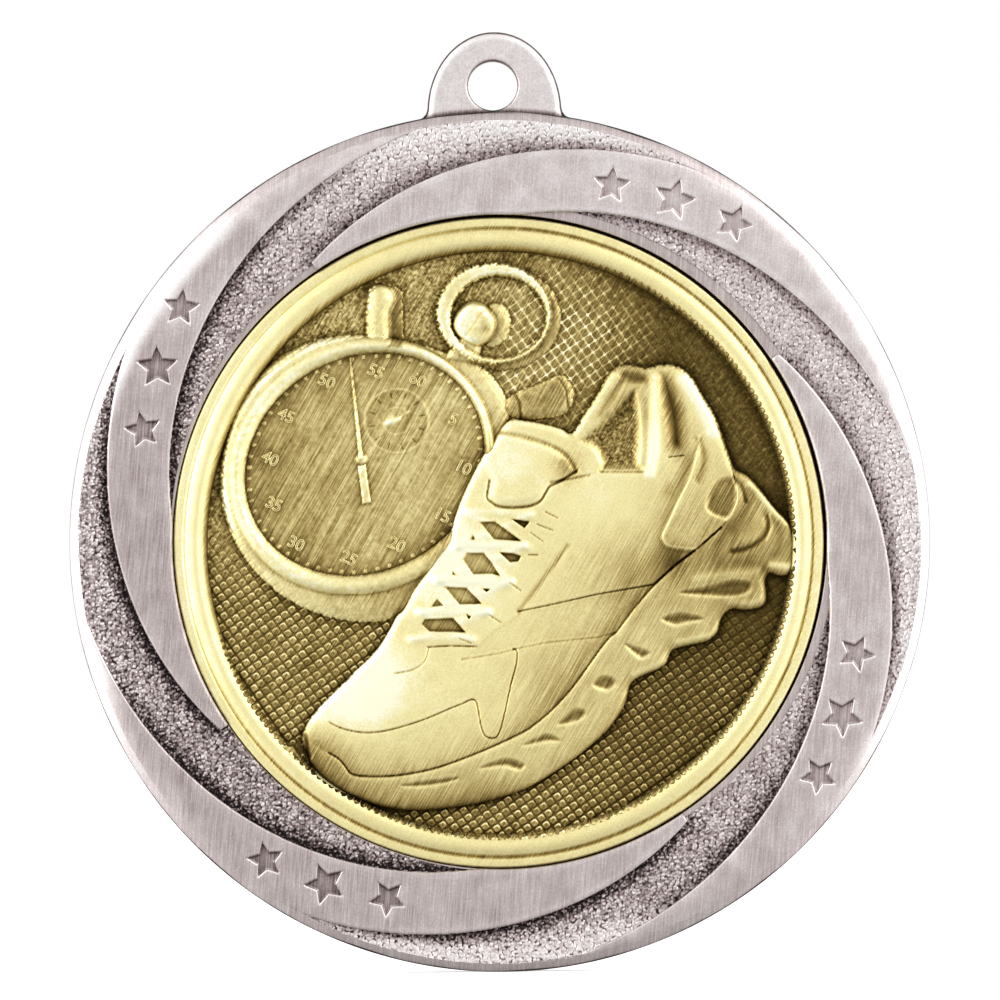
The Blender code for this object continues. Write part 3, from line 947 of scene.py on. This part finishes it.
SHOE = (
    (0.1, 9.2), (1.0, 10.0), (2.0, 9.95), (3.5, 9.7), (5.0, 9.3), (6.0, 8.9), (7.0, 10.5), (8.0, 12.0),
    (8.8, 13.5), (9.5, 14.2), (10.5, 14.5), (12.0, 14.2), (13.0, 14.45), (14.0, 14.5), (15.0, 14.1),
    (15.8, 13.3), (16.8, 11.6), (17.5, 10.5), (18.2, 8.8), (18.8, 7.0), (19.2, 6.0), (20.0, 5.6),
    (20.8, 4.9), (22.3, 3.0), (23.4, 1.8), (24.0, 1.0), (24.3, 0.0), (24.3, -1.0), (24.1, -1.9),
    (23.6, -2.6), (22.8, -2.7), (22.2, -2.5), (21.85, -2.6), (21.7, -3.2), (21.8, -4.2), (21.7, -4.9),
    (21.2, -5.3), (20.0, -5.5), (19.0, -5.4), (18.3, -5.9), (18.0, -6.5), (17.8, -7.3), (17.0, -8.0),
    (15.8, -8.3), (14.5, -8.6), (14.0, -8.9), (13.7, -9.7), (13.2, -10.2), (12.0, -10.7), (11.0, -11.2),
    (10.6, -11.8), (10.4, -12.8), (9.8, -14.0), (8.8, -15.3), (7.5, -16.5), (6.0, -17.7), (4.5, -18.7),
    (3.0, -19.6), (1.5, -20.3), (-2.0, -21.3), (-6.5, -21.8), (-9.0, -21.6), (-11.0, -21.1), (-12.8, -20.4),
    (-14.3, -19.5), (-15.0, -18.8), (-15.4, -17.8), (-15.7, -17.0), (-16.0, -16.0), (-15.8, -15.2),
    (-15.4, -14.4), (-14.5, -13.3), (-13.0, -11.8), (-11.5, -10.3), (-10.0, -8.8), (-9.0, -7.3),
    (-8.3, -6.0), (-7.7, -5.4), (-7.0, -4.0), (-6.0, -2.5), (-5.2, -1.1), (-4.2, 0.3), (-3.2, 3.2),
    (-2.0, 5.8), (-1.2, 7.2), (-0.4, 8.3),
)
MIDSOLE_LINE = (
    (-15.4, -16.2), (-13.8, -17.1), (-13.0, -17.6), (-12.4, -18.3), (-12.0, -18.8), (-11.0, -19.0),
    (-9.0, -19.0), (-7.0, -18.75), (-5.0, -18.3), (-3.0, -17.6), (-1.0, -16.8), (1.2, -15.8), (2.5, -15.1),
    (4.0, -13.9), (5.2, -12.7), (6.2, -11.5), (7.0, -10.4), (8.0, -9.0), (9.0, -7.7), (9.6, -7.2),
    (11.2, -5.1), (12.7, -3.4), (14.5, -1.7), (16.1, -0.5), (18.1, 1.25),
)
HEEL_LIP = ((18.75, 2.1), (19.35, 3.4), (19.3, 4.6), (19.1, 5.7))
TOE_CAP = (
    (-13.8, -14.6), (-13.0, -15.0), (-12.0, -15.3), (-10.8, -15.45), (-9.5, -15.35), (-8.0, -15.0),
    (-6.0, -14.35), (-4.0, -13.5), (-3.0, -13.1), (-2.2, -12.75), (-1.8, -13.0), (-1.6, -14.0),
    (-1.4, -15.0), (-1.1, -15.7), (-0.6, -15.9), (-0.2, -15.8), (0.1, -15.3), (0.5, -13.8), (1.0, -11.5),
    (1.4, -10.0), (1.5, -9.2), (1.4, -8.7), (1.15, -8.65),
)
TONGUE = (
    (-0.75, 5.0), (-0.95, 3.7), (-0.6, 3.3), (0.0, 2.95), (1.2, 2.85), (2.6, 3.0), (3.4, 3.4), (3.8, 4.0),
    (4.2, 4.6), (5.0, 5.0), (6.3, 5.8),
)
OPENING = (
    (6.3, 8.2), (7.6, 7.4), (8.2, 6.3), (8.6, 5.8), (11.0, 5.8), (11.5, 6.4), (11.7, 8.0), (11.7, 10.0),
    (11.5, 11.8), (11.1, 12.7), (10.1, 12.1), (8.9, 10.9), (7.7, 9.7), (6.8, 9.0),
)
HEEL_PANEL = (
    (16.3, 8.7), (16.1, 7.2), (15.6, 5.5), (15.0, 4.2), (14.4, 3.0), (13.8, 1.7), (13.3, 0.6), (13.4, 0.1),
    (13.8, -0.3), (14.8, -0.5), (16.1, -0.6),
)
LACE_WINDOWS = (
    ((-1.5, 1.65), (-0.3, 1.7), (1.8, 0.15), (-0.4, 0.3)),
    ((-2.9, -1.4), (-2.6, -0.85), (-1.2, -0.85), (-0.6, -1.6), (0.1, -2.7), (-0.6, -2.5), (-2.1, -2.55)),
    ((-4.4, -3.6), (-2.6, -3.7), (-1.4, -4.95), (-3.2, -5.0)),
    ((-6.3, -6.6), (-6.0, -6.25), (-3.7, -6.15), (-2.7, -7.3), (-4.0, -7.2), (-5.6, -7.2)),
    ((0.1, -0.8), (1.2, -0.9), (1.8, -1.1), (1.6, -1.5), (0.9, -1.55)),
    ((1.1, 1.9), (2.5, 1.7), (2.1, 1.2)),
    ((-2.1, 0.6), (-1.85, 0.25), (-2.35, 0.25)),
    ((-3.75, -2.35), (-3.4, -2.65), (-3.8, -2.6)),
    ((-5.0, -4.6), (-4.5, -5.1), (-5.5, -5.2)),
    ((-2.6, -5.85), (-2.25, -6.05), (-2.45, -6.2)),
    ((-1.3, -3.75), (-0.7, -3.8), (-1.0, -4.0)),
)
SOLE_WINDOWS = (
    ((-7.9, -19.75), (-6.5, -19.85), (-4.5, -19.6), (-3.3, -19.15), (-5.5, -19.35)),
    ((-1.5, -18.35), (0.0, -17.7), (1.0, -17.6), (2.1, -18.1), (1.6, -18.5), (0.4, -18.2)),
    ((2.0, -16.5), (3.0, -15.9), (4.0, -15.6), (5.0, -16.1), (3.8, -16.2)),
    ((4.8, -14.8), (5.8, -13.8), (6.5, -13.5), (7.1, -13.9), (6.5, -14.5)),
    ((7.7, -11.6), (8.3, -10.9), (9.2, -11.0), (9.5, -11.5), (8.8, -12.0)),
    ((10.3, -8.3), (11.1, -8.5), (12.3, -8.95), (11.5, -9.4)),
    ((13.3, -6.2), (14.8, -5.75), (16.6, -6.2), (15.3, -6.5), (14.3, -6.7)),
    ((14.8, -4.1), (17.0, -3.6), (19.0, -3.1), (20.5, -3.3), (20.2, -4.1), (18.5, -4.4)),
    ((17.0, 2.6), (17.1, 4.0), (17.8, 5.0), (18.7, 5.3), (19.3, 4.9), (19.4, 4.0), (19.2, 3.0), (18.5, 2.0)),
)
BELOW = ((19.8, 7.0), (26.0, 0.0), (26.0, -8.0), (16.0, -26.0), (-18.0, -26.0))
# Bars across the tongue, then the laces that cross between them.
LACES = (
    ((-2.6, 2.6), (2.6, 2.3)), ((-3.6, -0.2), (2.0, -0.25)), ((-5.2, -3.0), (1.0, -3.2)),
    ((-6.6, -5.6), (-0.9, -5.6)), ((-7.2, -7.75), (-2.0, -7.75)),
    ((-2.4, 2.4), (2.6, -0.4)), ((2.6, 2.3), (-3.4, -0.3)), ((-3.4, -0.3), (1.0, -3.1)),
    ((2.0, -0.3), (-4.9, -3.1)), ((-4.9, -3.0), (-0.8, -5.7)), ((1.0, -3.2), (-6.2, -5.7)),
    ((-6.4, -5.6), (-2.2, -7.9)), ((-0.9, -5.6), (-7.0, -7.9)),
)
SEAMS = (
    ((3.8, 2.5), (4.8, 2.0)), ((3.1, 1.5), (4.4, 1.0)), ((2.6, 0.8), (3.6, 0.1)), ((2.4, -1.0), (3.2, -1.0)),
    ((0.9, -3.3), (1.8, -3.9)), ((-0.8, -5.9), (0.2, -6.5)), ((-3.2, -7.8), (-2.2, -8.2)),
    ((-5.7, -8.6), (-5.9, -9.4), (-6.4, -10.0), (-7.2, -10.4), (-8.5, -10.65)),
    ((13.8, 6.95), (15.1, 7.1)), ((16.7, 0.0), (18.1, 1.25)),
)
# Scored lines: width, depth (negative for a ridge), shade and the points they run through. The shade is
# painted: highlights on the ridges, shade in the grooves.
COLLAR_LINES = (
    (0.5, 0.1, -0.2, (8.5, 6.05), (11.3, 6.05)),
    (0.12, 0.06, -0.2, (8.2, 5.75), (11.8, 5.75)),
    (0.7, -0.15, 0.16, (6.5, 9.4), (7.4, 10.7), (8.5, 12.3), (9.4, 13.6)),
    (0.5, 0.06, -0.14, (8.3, 10.5), (9.4, 12.2), (10.0, 13.0)),
    (0.7, -0.08, 0.05, (9.4, 10.6), (10.4, 12.2), (11.2, 13.0)),
    (0.65, -0.1, 0.2, (12.75, 13.4), (12.7, 10.0), (12.6, 7.5), (12.3, 5.6)),
    (0.5, 0.05, -0.1, (11.9, 11.5), (12.0, 8.5), (11.9, 6.5)),
)
PIT = (
    (13.2, 13.5), (13.5, 13.65), (14.1, 12.9), (14.8, 11.2), (15.1, 9.5), (15.0, 8.0), (14.4, 7.7),
    (13.9, 8.2), (13.6, 10.0), (13.3, 11.7),
)
BACK_LINES = (
    (1.0, -0.16, 0.3, (15.2, 13.3), (16.1, 11.9), (16.9, 10.5), (17.5, 9.2)),
    (0.9, -0.06, 0.12, (17.6, 9.0), (18.2, 7.6), (18.6, 6.4)),
    (1.0, 0.05, -0.14, (14.2, 7.6), (15.3, 6.6), (15.0, 5.0), (14.0, 4.2)),
    (1.1, 0.0, -0.1, (13.7, 12.9), (14.3, 11.4), (14.5, 9.6), (14.6, 8.2)),
)
HEEL_LINES = (
    (0.16, -0.06, 0.2, (18.4, 1.8), *HEEL_LIP[:3], (19.0, 5.3)),
    (0.9, 0.05, -0.16, (19.0, 1.2), (19.9, 2.6), (20.6, 4.2)),
    (0.7, 0.05, -0.12, (22.6, 1.6), (22.9, 0.4), (22.6, -0.8)),
    (0.6, -0.05, 0.1, (20.0, 0.2), (20.8, 0.8), (21.3, 1.8)),
    (1.0, 0.05, -0.1, (18.0, -1.6), (21.2, -1.9)),
    (0.6, -0.05, 0.14, (16.0, -2.9), (21.0, -2.3)),
    (0.5, 0.1, -0.2, (16.35, 8.3), (16.7, 7.2), (16.6, 6.2), (16.2, 5.2)),
    (0.35, 0.13, -0.2, (21.85, 2.1), (21.9, 1.2), (21.5, 0.4), (20.7, -0.2), (19.9, -0.55), (19.0, -0.7)),
    (0.12, -0.06, 0.15, (22.05, 2.3), (22.2, 1.2), (21.8, 0.2)),
    (0.3, 0.1, -0.25, (19.1, 5.3), (19.75, 4.6), (20.1, 3.4)),
    (0.45, -0.1, 0.3, (20.4, 4.8), (21.4, 3.8), (22.3, 2.7), (23.4, 1.6)),
    (0.5, -0.06, 0.25, (22.2, -1.8), (23.6, -2.0)),
    (0.5, -0.05, 0.1, (21.3, -3.2), (21.4, -4.2), (21.0, -4.8), (20.0, -4.9), (18.8, -4.8)),
    (0.45, -0.05, 0.1, (17.9, -6.6), (17.4, -7.4), (16.0, -7.8), (14.6, -8.1)),
    (0.45, -0.05, 0.1, (13.4, -9.6), (12.4, -10.2), (11.0, -10.7)),
)
# Patches of painted highlight and painted shade: centre u, centre v, reach and shade.
SHOE_PAINTED_LIGHT = (
    (-11.4, -11.4, 3.4, 0.42), (-3.2, -2.0, 4.8, 0.23), (0.8, 6.8, 2.6, 0.16), (8.0, 3.5, 4.5, 0.1),
    (-4.0, -12.0, 4.0, 0.06), (-15.8, -18.6, 3.0, -0.3), (10.5, -3.0, 3.5, -0.1), (19.0, -0.5, 5.0, -0.24),
)


def running_shoe(grid, pads):
    """The shoe's height above the field with its shade, its outline, and its midsole line."""
    relief = Relief(grid)
    edge = grid.distance(curve(SHOE, steps=3))
    teeth = ease((grid.v - grid.u / 3) / 4) * ease((grid.u - 5) / 1.5) + 0.6 * ease((-9 - grid.u) / 4)
    edge -= RAGGED * (pads - 0.5) * teeth
    inside = np.clip(-edge, 0, None)
    relief.height = 0.3 + 0.3 * rounded(inside / 0.6) + 0.45 * (1 - np.exp(-inside / 3.0))
    relief.swell(-9.0, -12.0, 4.5, 0.22, 0.0)
    midsole = midsole_step(relief)
    relief.score(curve(TOE_CAP, False, 3), 0.09, 0.1, -0.35)
    relief.crease(0.1, 0.08, -0.3, (-5.8, -8.5), (-4.0, -8.4), (-1.8, -8.45))
    lacing(relief)
    side_panels(relief)
    collar(relief)
    heel(relief)
    sole_windows(relief)
    relief.height += 0.012 * grid.grain(31, 0.5)
    paint_shoe_light(relief, inside)
    return relief, edge, midsole


def midsole_step(relief):
    """The midsole stands out below its line, under a groove and a shadow. Gives the distance to the line."""
    grid = relief.grid
    line = curve(MIDSOLE_LINE, False, 3)
    midsole = grid.distance(np.concatenate((line, HEEL_LIP, BELOW)))
    depth = np.clip(-midsole, 0, None)
    lifted = 0.14 * rounded(depth / 0.5) * ease((grid.u + 15.2) / 1.5) - 0.04 * depth
    relief.height += lifted * (midsole < 0)
    relief.score(curve(MIDSOLE_LINE[1:], False, 3), 0.12, 0.1, -0.16)
    shadow = (0.14 + 0.12 * ease((grid.u + 4) / 8)) * ease((16 - grid.u) / 3)
    relief.shade -= shadow * fading(midsole, 1.1) * (midsole > 0)
    return midsole


def lacing(relief):
    """The tongue with its turned edge, and the crossed laces with dark gaps between them."""
    grid = relief.grid
    turned_edge = curve(TONGUE, False, 3)
    tongue = grid.distance(np.concatenate((turned_edge, [(6.2, 7.0), (4.0, 8.2), (0.0, 9.4), (-2.0, 7.0)])))
    relief.height += 0.12 * ease(-tongue / 0.8)
    relief.score(turned_edge, 0.16, 0.15, -0.24)
    relief.swell(5.6, 6.0, 1.1, -0.1, -0.3)
    relief.crease(0.3, 0.1, -0.15, (0.1, 9.0), (2.0, 8.6), (4.0, 8.0), (5.5, 7.1), (6.3, 5.9))
    relief.crease(0.16, 0.06, -0.2, (4.2, 4.9), (7.4, 5.5))
    for lace in LACES:
        relief.score(lace, 0.5, -0.06, 0.04)
    for window in LACE_WINDOWS:
        gap = grid.distance(window) - 0.06
        relief.sink_to(gap, 0.72, 0.14, -0.36)
        relief.shade -= 0.24 * fading(gap + 0.04, 0.08)


def side_panels(relief):
    """Stitched seams, and the side stripe standing a little lower than the panels round it."""
    grid = relief.grid
    for seam in SEAMS:
        relief.crease(0.09, 0.08, -0.2, *seam)
    low_edge = [(-3.0, -9.5), (0.0, -9.0), (2.0, -8.5), (4.0, -8.1), (8.0, -7.7), (9.5, -7.3)]
    top_edge = [(1.6, -5.6), (4.0, -5.1), (8.0, -4.2), (12.6, -3.4), (14.2, -2.0), (16.0, -0.6)]
    stripe = grid.distance(top_edge[:4] + low_edge[::-1] + [(-1.0, -7.4)])
    relief.height -= 0.05 * ease(-stripe / 0.3)
    relief.score(top_edge, 0.1, 0.1, -0.35)
    relief.score(low_edge, 0.12, 0.05, -0.12)
    relief.crease(0.35, 0.06, -0.16, (1.6, -5.6), (5.6, -0.3))
    # Painted shade in a dark wedge below the heel panel.
    relief.swell(14.2, -1.6, 1.2, -0.05, -0.3)
    relief.swell(5.0, -10.8, 3.2, 0.0, -0.09)
    relief.swell(10.0, -1.5, 3.0, 0.0, -0.06)


def collar(relief):
    """The dark opening, the padded ridges beside it and the pits between them, with painted shade in the
    opening and the pits and painted highlights on the ridges.
    """
    grid = relief.grid
    padding = grid.distance([
        (6.3, 8.2), (8.0, 10.2), (9.4, 12.4), (10.4, 13.2), (11.6, 12.9), (12.0, 9.0), (11.7, 5.9),
        (8.4, 5.8), (7.5, 7.5),
    ])
    relief.sink_to(padding, 0.75, 1.2, -0.2)
    opening = grid.distance(curve(OPENING))
    relief.sink_to(opening, 0.4, 1.0, -0.08)
    deep = ease(-opening / 1.1)
    rough = grid.grain(33, 0.06)
    relief.height += 0.05 * deep * rough
    relief.shade += deep * (0.1 * rough - 0.1 + 0.08 * ease((grid.u - 9) / 3))
    for line in COLLAR_LINES:
        relief.crease(*line)
    relief.swell(12.5, 7.6, 1.3, 0.02, 0.1)
    for outline, wall in ((oval(11.0, 13.5, 1.1, 0.45, -12), 0.7), (curve(PIT), 1.1)):
        pit = grid.distance(outline)
        relief.sink_to(pit - 0.3, 0.6, wall, -0.24)
        relief.shade -= 0.16 * ease((0.6 - pit) / 0.6)
    for line in BACK_LINES:
        relief.crease(*line)
    relief.swell(10.0, 12.0, 3.0, 0.0, -0.1)


def heel(relief):
    """The raised heel panel with its shadow and bright edge, and the heel's grooves and ridges."""
    grid = relief.grid
    panel_edge = curve(HEEL_PANEL, False, 3)
    behind = [(18.1, 1.25), *HEEL_LIP, (19.0, 7.0), (17.4, 10.0)]
    panel = grid.distance(np.concatenate((panel_edge, behind)))
    low = ease((9.5 - grid.v) / 2)
    relief.height += 0.1 * ease(-panel / 0.12) * low
    relief.shade -= 0.2 * fading(panel, 0.5) * (panel > 0) * low * ease(17 - grid.u)
    relief.score(panel_edge, 0.18, -0.06, 0.16)
    for line in HEEL_LINES:
        relief.crease(*line)


def sole_windows(relief):
    """Windows sunk through the sole, with a dark upper edge and a lit lower one."""
    grid = relief.grid
    for window in SOLE_WINDOWS:
        hole = grid.distance(curve(window, True, 4))
        relief.height -= 0.2 * ease((0.2 - hole) / 0.6)
        upward = np.gradient(np.clip(hole, -1, 1), grid.pitch)[0]
        relief.shade -= 0.2 * ease((0.1 - hole) / 0.4) + 0.12 * upward * bell(hole, 0.13)


def paint_shoe_light(relief, inside):
    """Painted highlights on the toe, the laces and the tongue; painted shade low on the toe, on the heel and
    by the edge.
    """
    grid = relief.grid
    for u, v, reach, shade in SHOE_PAINTED_LIGHT:
        relief.swell(u, v, reach, 0.0, shade)
    relief.crease(0.3, 0.1, -0.4, (-15.75, -15.7), (-15.5, -17.3))
    relief.swell(-14.6, -14.4, 0.9, 0.05, 0.12)
    # Painted shade along the bottom, the lower right and the collar's edges, and a faint painted highlight
    # along the upper left edge.
    below = grid.u - grid.v
    edges = (
        (-0.3, 1.4, ease((-15 - grid.v) / 4) * ease((4 - grid.u) / 6)),
        (-0.34, 0.4, ease((below - 2) / 8)),
        (0.04, 0.9, ease((8 - below) / 8) * ease((8 - grid.v) / 3)),
        (-0.35, 0.25, ease((grid.v - 5) / 3) * ease((grid.u - 5) / 2)),
    )
    for shade, reach, share in edges:
        relief.shade += shade * share * np.exp(-inside / reach)


# ---- Pieces of the insert


def insert_relief():
    """The hatched field, the stopwatch and the shoe, each a solid standing on the insert's plate."""
    grid = Grid(FIELD_RADIUS + 1.0, INSERT_PITCH)
    radius = grid.radius
    under_bead = 0.75
    inner_rim = radius - (FIELD_RADIUS + under_bead)
    pads, pad_rub_and_highlight = hatch(grid)
    watch, watch_edge = stopwatch(grid, pads)
    shoe, shoe_edge, midsole = running_shoe(grid, pads)
    watch_edge = np.maximum(watch_edge, inner_rim)
    shoe_edge = np.maximum(shoe_edge, inner_rim)
    clear = np.minimum(watch_edge, shoe_edge)

    # The pads are crisp low on the field and worn away higher up.
    rubbed = ease((grid.u - 13) / 5) * ease((grid.v + 9) / 6)
    crisp = 0.08 + 0.92 * ease((3 - grid.v) / 8) * (1 - 0.7 * rubbed)
    cells = CELL_RISE * pads * (0.3 + 0.7 * crisp)
    pearl = pearls(grid)
    slope = RIM_HEIGHT * rounded((radius - FIELD_RADIUS + 0.02) / 1.0)
    floor = np.maximum(cells, slope - 0.12 + 0.26 * pearl)
    field = np.where(radius < PEARL_RADIUS + 0.3, floor, slope - 0.1)
    whole = np.where(shoe_edge < 0, shoe.height, np.where(watch_edge < 0, watch.height, cells))
    whole = np.maximum(whole, slope)
    near, wide = grid.blur(whole, 0.2), grid.blur(whole, 0.8)

    field_tone = pad_tone(grid, pads, pad_rub_and_highlight, crisp) - 0.45 * np.clip(wide - cells - 0.14, 0, 1)
    # Painted shadow on the field round the stopwatch and the shoe, deeper low down.
    field_tone -= (0.25 + 0.15 * ease((-12 - grid.v) / 6)) * np.exp(-np.clip(clear, 0, None) / 0.32)
    field_tone += (0.25 + 0.35 * ease((grid.u + 5) / 15)) * pearl
    # The rim's inner slope is brighter, less so towards the upper left, where shade is painted.
    foot = ease((radius - PEARL_RADIUS) / 0.2) * (1 - pearl)
    field_tone += (0.4 - 0.25 * ease((grid.v - grid.u) / 20)) * foot

    def wear_and_painted_light(relief, plain):
        """Dark patina in narrow grooves and wide hollows, bright on narrow crests, with the relief's painted
        light and shade added.
        """
        groove = np.clip(near - relief.height, -0.04, 1)
        hollow = np.clip(wide - relief.height, 0, 1)
        return plain - 2.2 * groove - 0.5 * hollow + relief.shade

    # A painted shadow darkens the stopwatch beside the shoe.
    watch_tone = wear_and_painted_light(watch, 0.79) - 0.2 * np.exp(-np.clip(shoe_edge, 0, None) / 0.5)
    shoe_tone = wear_and_painted_light(shoe, 0.8) - 0.06 * (midsole < 0)

    def struck(name, region, height, tone):
        relief_solid(name, GOLD, grid, region, FIELD + height, RELIEF_FOOT, tone, shift=INSERT_SHIFT)

    # The stopwatch runs on a little under the shoe, and the field under both.
    struck("stopwatch", np.maximum(watch_edge, -0.2 - shoe_edge), watch.height, watch_tone)
    struck("shoe_upper", np.maximum(shoe_edge, -midsole), shoe.height, shoe_tone)
    struck("shoe_sole", np.maximum(shoe_edge, midsole), shoe.height, shoe_tone)
    spread = np.maximum(-0.15 - clear, inner_rim)
    above = grid.v - 0.4 * grid.u + 10.5
    struck("hatched_field_upper", np.maximum(spread, np.where(above > 0, -1.0, 1.0)), field, field_tone)
    struck("hatched_field_lower", np.maximum(spread, np.where(above < 0, -1.0, 1.0)), field, field_tone)


def pearls(grid):
    """A row of small domes along the rim's foot, worn flat towards the upper left."""
    along = 2 * ((np.arctan2(grid.v, grid.u) * PEARL_RADIUS / PEARL_PITCH) % 1) - 1
    off = np.hypot(along * PEARL_PITCH / 2, grid.radius - PEARL_RADIUS) / (PEARL_PITCH / 2)
    return np.sqrt(np.clip(1 - off * off, 0, 1)) * (0.15 + 0.85 * ease((grid.u - grid.v + 22) / 20))


def pad_tone(grid, pads, pad_rub_and_highlight, crisp):
    """Crisp pads lit along their edges, mottled worn ones, and a bright net between those round the bow."""
    left = ease((14 - grid.u) / 18)
    net = ease(1.3 - np.hypot(grid.u - 4.8, grid.v - 16.0) / 7.2)
    lattice = (1 - np.clip(pads, 0, 1)) ** 6 * (0.8 + 0.5 * grid.grain(43, 0.2))
    lattice *= ease((grid.v - 3) / 4) * ease((grid.u + 4) / 5)
    pattern = crisp * pad_rub_and_highlight + (1 - crisp) * (0.5 + 0.4 * grid.grain(41, 0.06))
    bright = (0.18 + 0.4 * left) * pattern * (1 - 0.6 * net) + (0.12 + 0.56 * net) * lattice
    bright *= 1 + 1.5 * ease((-6 - grid.v) / 6) * (1 - left)
    return 0.14 + 0.12 * left + 0.2 * net + bright


def numerals():
    """Raised outline numerals round the dial."""
    size, stroke, lean = 1.35, 0.055, 25.0
    for digits, (u, v) in NUMERALS.items():
        name = "numeral_" + digits
        text = bpy.data.curves.new(name, "FONT")
        text.body = digits
        text.size = size * MM
        text.align_x = "CENTER"
        text.align_y = "CENTER"
        text.fill_mode = "NONE"
        text.bevel_depth = stroke * MM
        text.bevel_resolution = 1
        text.resolution_u = 4
        drawn = bpy.data.objects.new(name, text)
        drawn.rotation_euler = (math.pi / 2, math.radians(lean) + DESIGN_TURN, 0.0)
        drawn.location = place(u, v, FIELD + DIAL_FLOOR + 0.02, shift=INSERT_SHIFT)
        bpy.context.scene.collection.objects.link(drawn)
        bpy.context.view_layer.update()
        graph = bpy.context.evaluated_depsgraph_get()
        mesh = bpy.data.meshes.new_from_object(drawn.evaluated_get(graph))
        mesh.transform(drawn.matrix_world)
        mesh.shade_smooth()
        mesh.materials.clear()
        bpy.data.objects.remove(drawn)
        finish_piece(name, mesh, [0.78] * len(mesh.vertices), GOLD)


# ---- Stage


# The white tent's light: its strength all round, and what each side adds or takes away.
ALL_ROUND = 0.95
SIDES = 0.8
BELOW_HORIZON = -0.35
BEHIND_MEDAL = -0.25
WHITE = (1.0, 1.0, 1.0, 1.0)


def world_light():
    """A white tent, brighter to the sides and dimmer below and behind. The camera sees plain white."""
    world = bpy.data.worlds.new("studio")
    bpy.context.scene.world = world
    world.use_nodes = True
    world.node_tree.nodes.clear()
    tent = Nodes(world.node_tree)
    towards = tent.node("SeparateXYZ", _0=tent.node("TexCoord").outputs["Generated"]).outputs
    strength = ALL_ROUND
    for direction, low, high, share in (
        (tent.maths("ABSOLUTE", towards["X"]), 0.2, 0.9, SIDES),
        (towards["Z"], -0.05, -0.8, BELOW_HORIZON),
        (towards["Y"], -0.1, 0.5, BEHIND_MEDAL),
    ):
        side = tent.maths("MULTIPLY", tent.smooth_step(direction, low, high), share)
        strength = tent.maths("ADD", strength, side)
    light = tent.node("Background", Color=WHITE, Strength=strength)
    seen = tent.node("Background", Color=WHITE)
    direct = tent.node("LightPath").outputs["Is Camera Ray"]
    mixed = tent.node("MixShader", _0=direct, _1=light.outputs[0], _2=seen.outputs[0])
    tent.node("OutputWorld", _0=mixed.outputs[0])


def softbox(name, location, size, power):
    """A rectangular light aimed at the medal's centre."""
    data = bpy.data.lights.new(name, "AREA")
    data.shape = "RECTANGLE"
    data.size, data.size_y = size
    data.energy = power
    lamp = bpy.data.objects.new(name, data)
    lamp.location = location
    lamp.rotation_euler = (-Vector(location)).to_track_quat("-Z", "Y").to_euler()
    bpy.context.scene.collection.objects.link(lamp)


def pale_floor():
    """A wide floor at the medal's lowest point, which glows a little and stays out of the reflections."""
    half, low = 1.5, frame_low.z
    mesh = bpy.data.meshes.new("floor")
    corners = [(-half, -half, low), (half, -half, low), (half, half, low), (-half, half, low)]
    mesh.from_pydata(corners, [], [(0, 1, 2, 3)])
    shader = Shader("pale_floor")
    shader.set(Base_Color=(0.9, 0.9, 0.9, 1.0), Roughness=0.9, Emission_Color=WHITE, Emission_Strength=0.6)
    mesh.materials.append(shader.material)
    floor = bpy.data.objects.new("floor", mesh)
    bpy.context.scene.collection.objects.link(floor)
    floor.visible_glossy = False


def camera():
    """A long lens straight in front, rolled with the struck design."""
    reach, wide = 0.9, 0.08168
    eye = bpy.data.objects.new("camera", bpy.data.cameras.new("camera"))
    eye.data.lens = eye.data.sensor_width * reach / wide
    eye.location = (0.00007, -reach, 0.0034)
    level = Euler((math.pi / 2, 0.0, 0.0)).to_matrix()
    eye.rotation_euler = (level @ Matrix.Rotation(-DESIGN_TURN, 3, "Z")).to_euler()
    bpy.context.scene.collection.objects.link(eye)
    bpy.context.scene.camera = eye
    bpy.context.scene.view_settings.view_transform = "Standard"


frame_body()
ring_relief()
lug()
insert_body()
insert_relief()
numerals()
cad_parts["adhesive_pad"].data.materials.clear()
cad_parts["adhesive_pad"].data.materials.append(foam())
world_light()
pale_floor()
softbox("left_softbox", (-0.5, -0.35, 0.15), (0.3, 0.6), 0.8)
softbox("right_softbox", (0.45, -0.4, 0.35), (0.3, 0.5), 1.0)
camera()
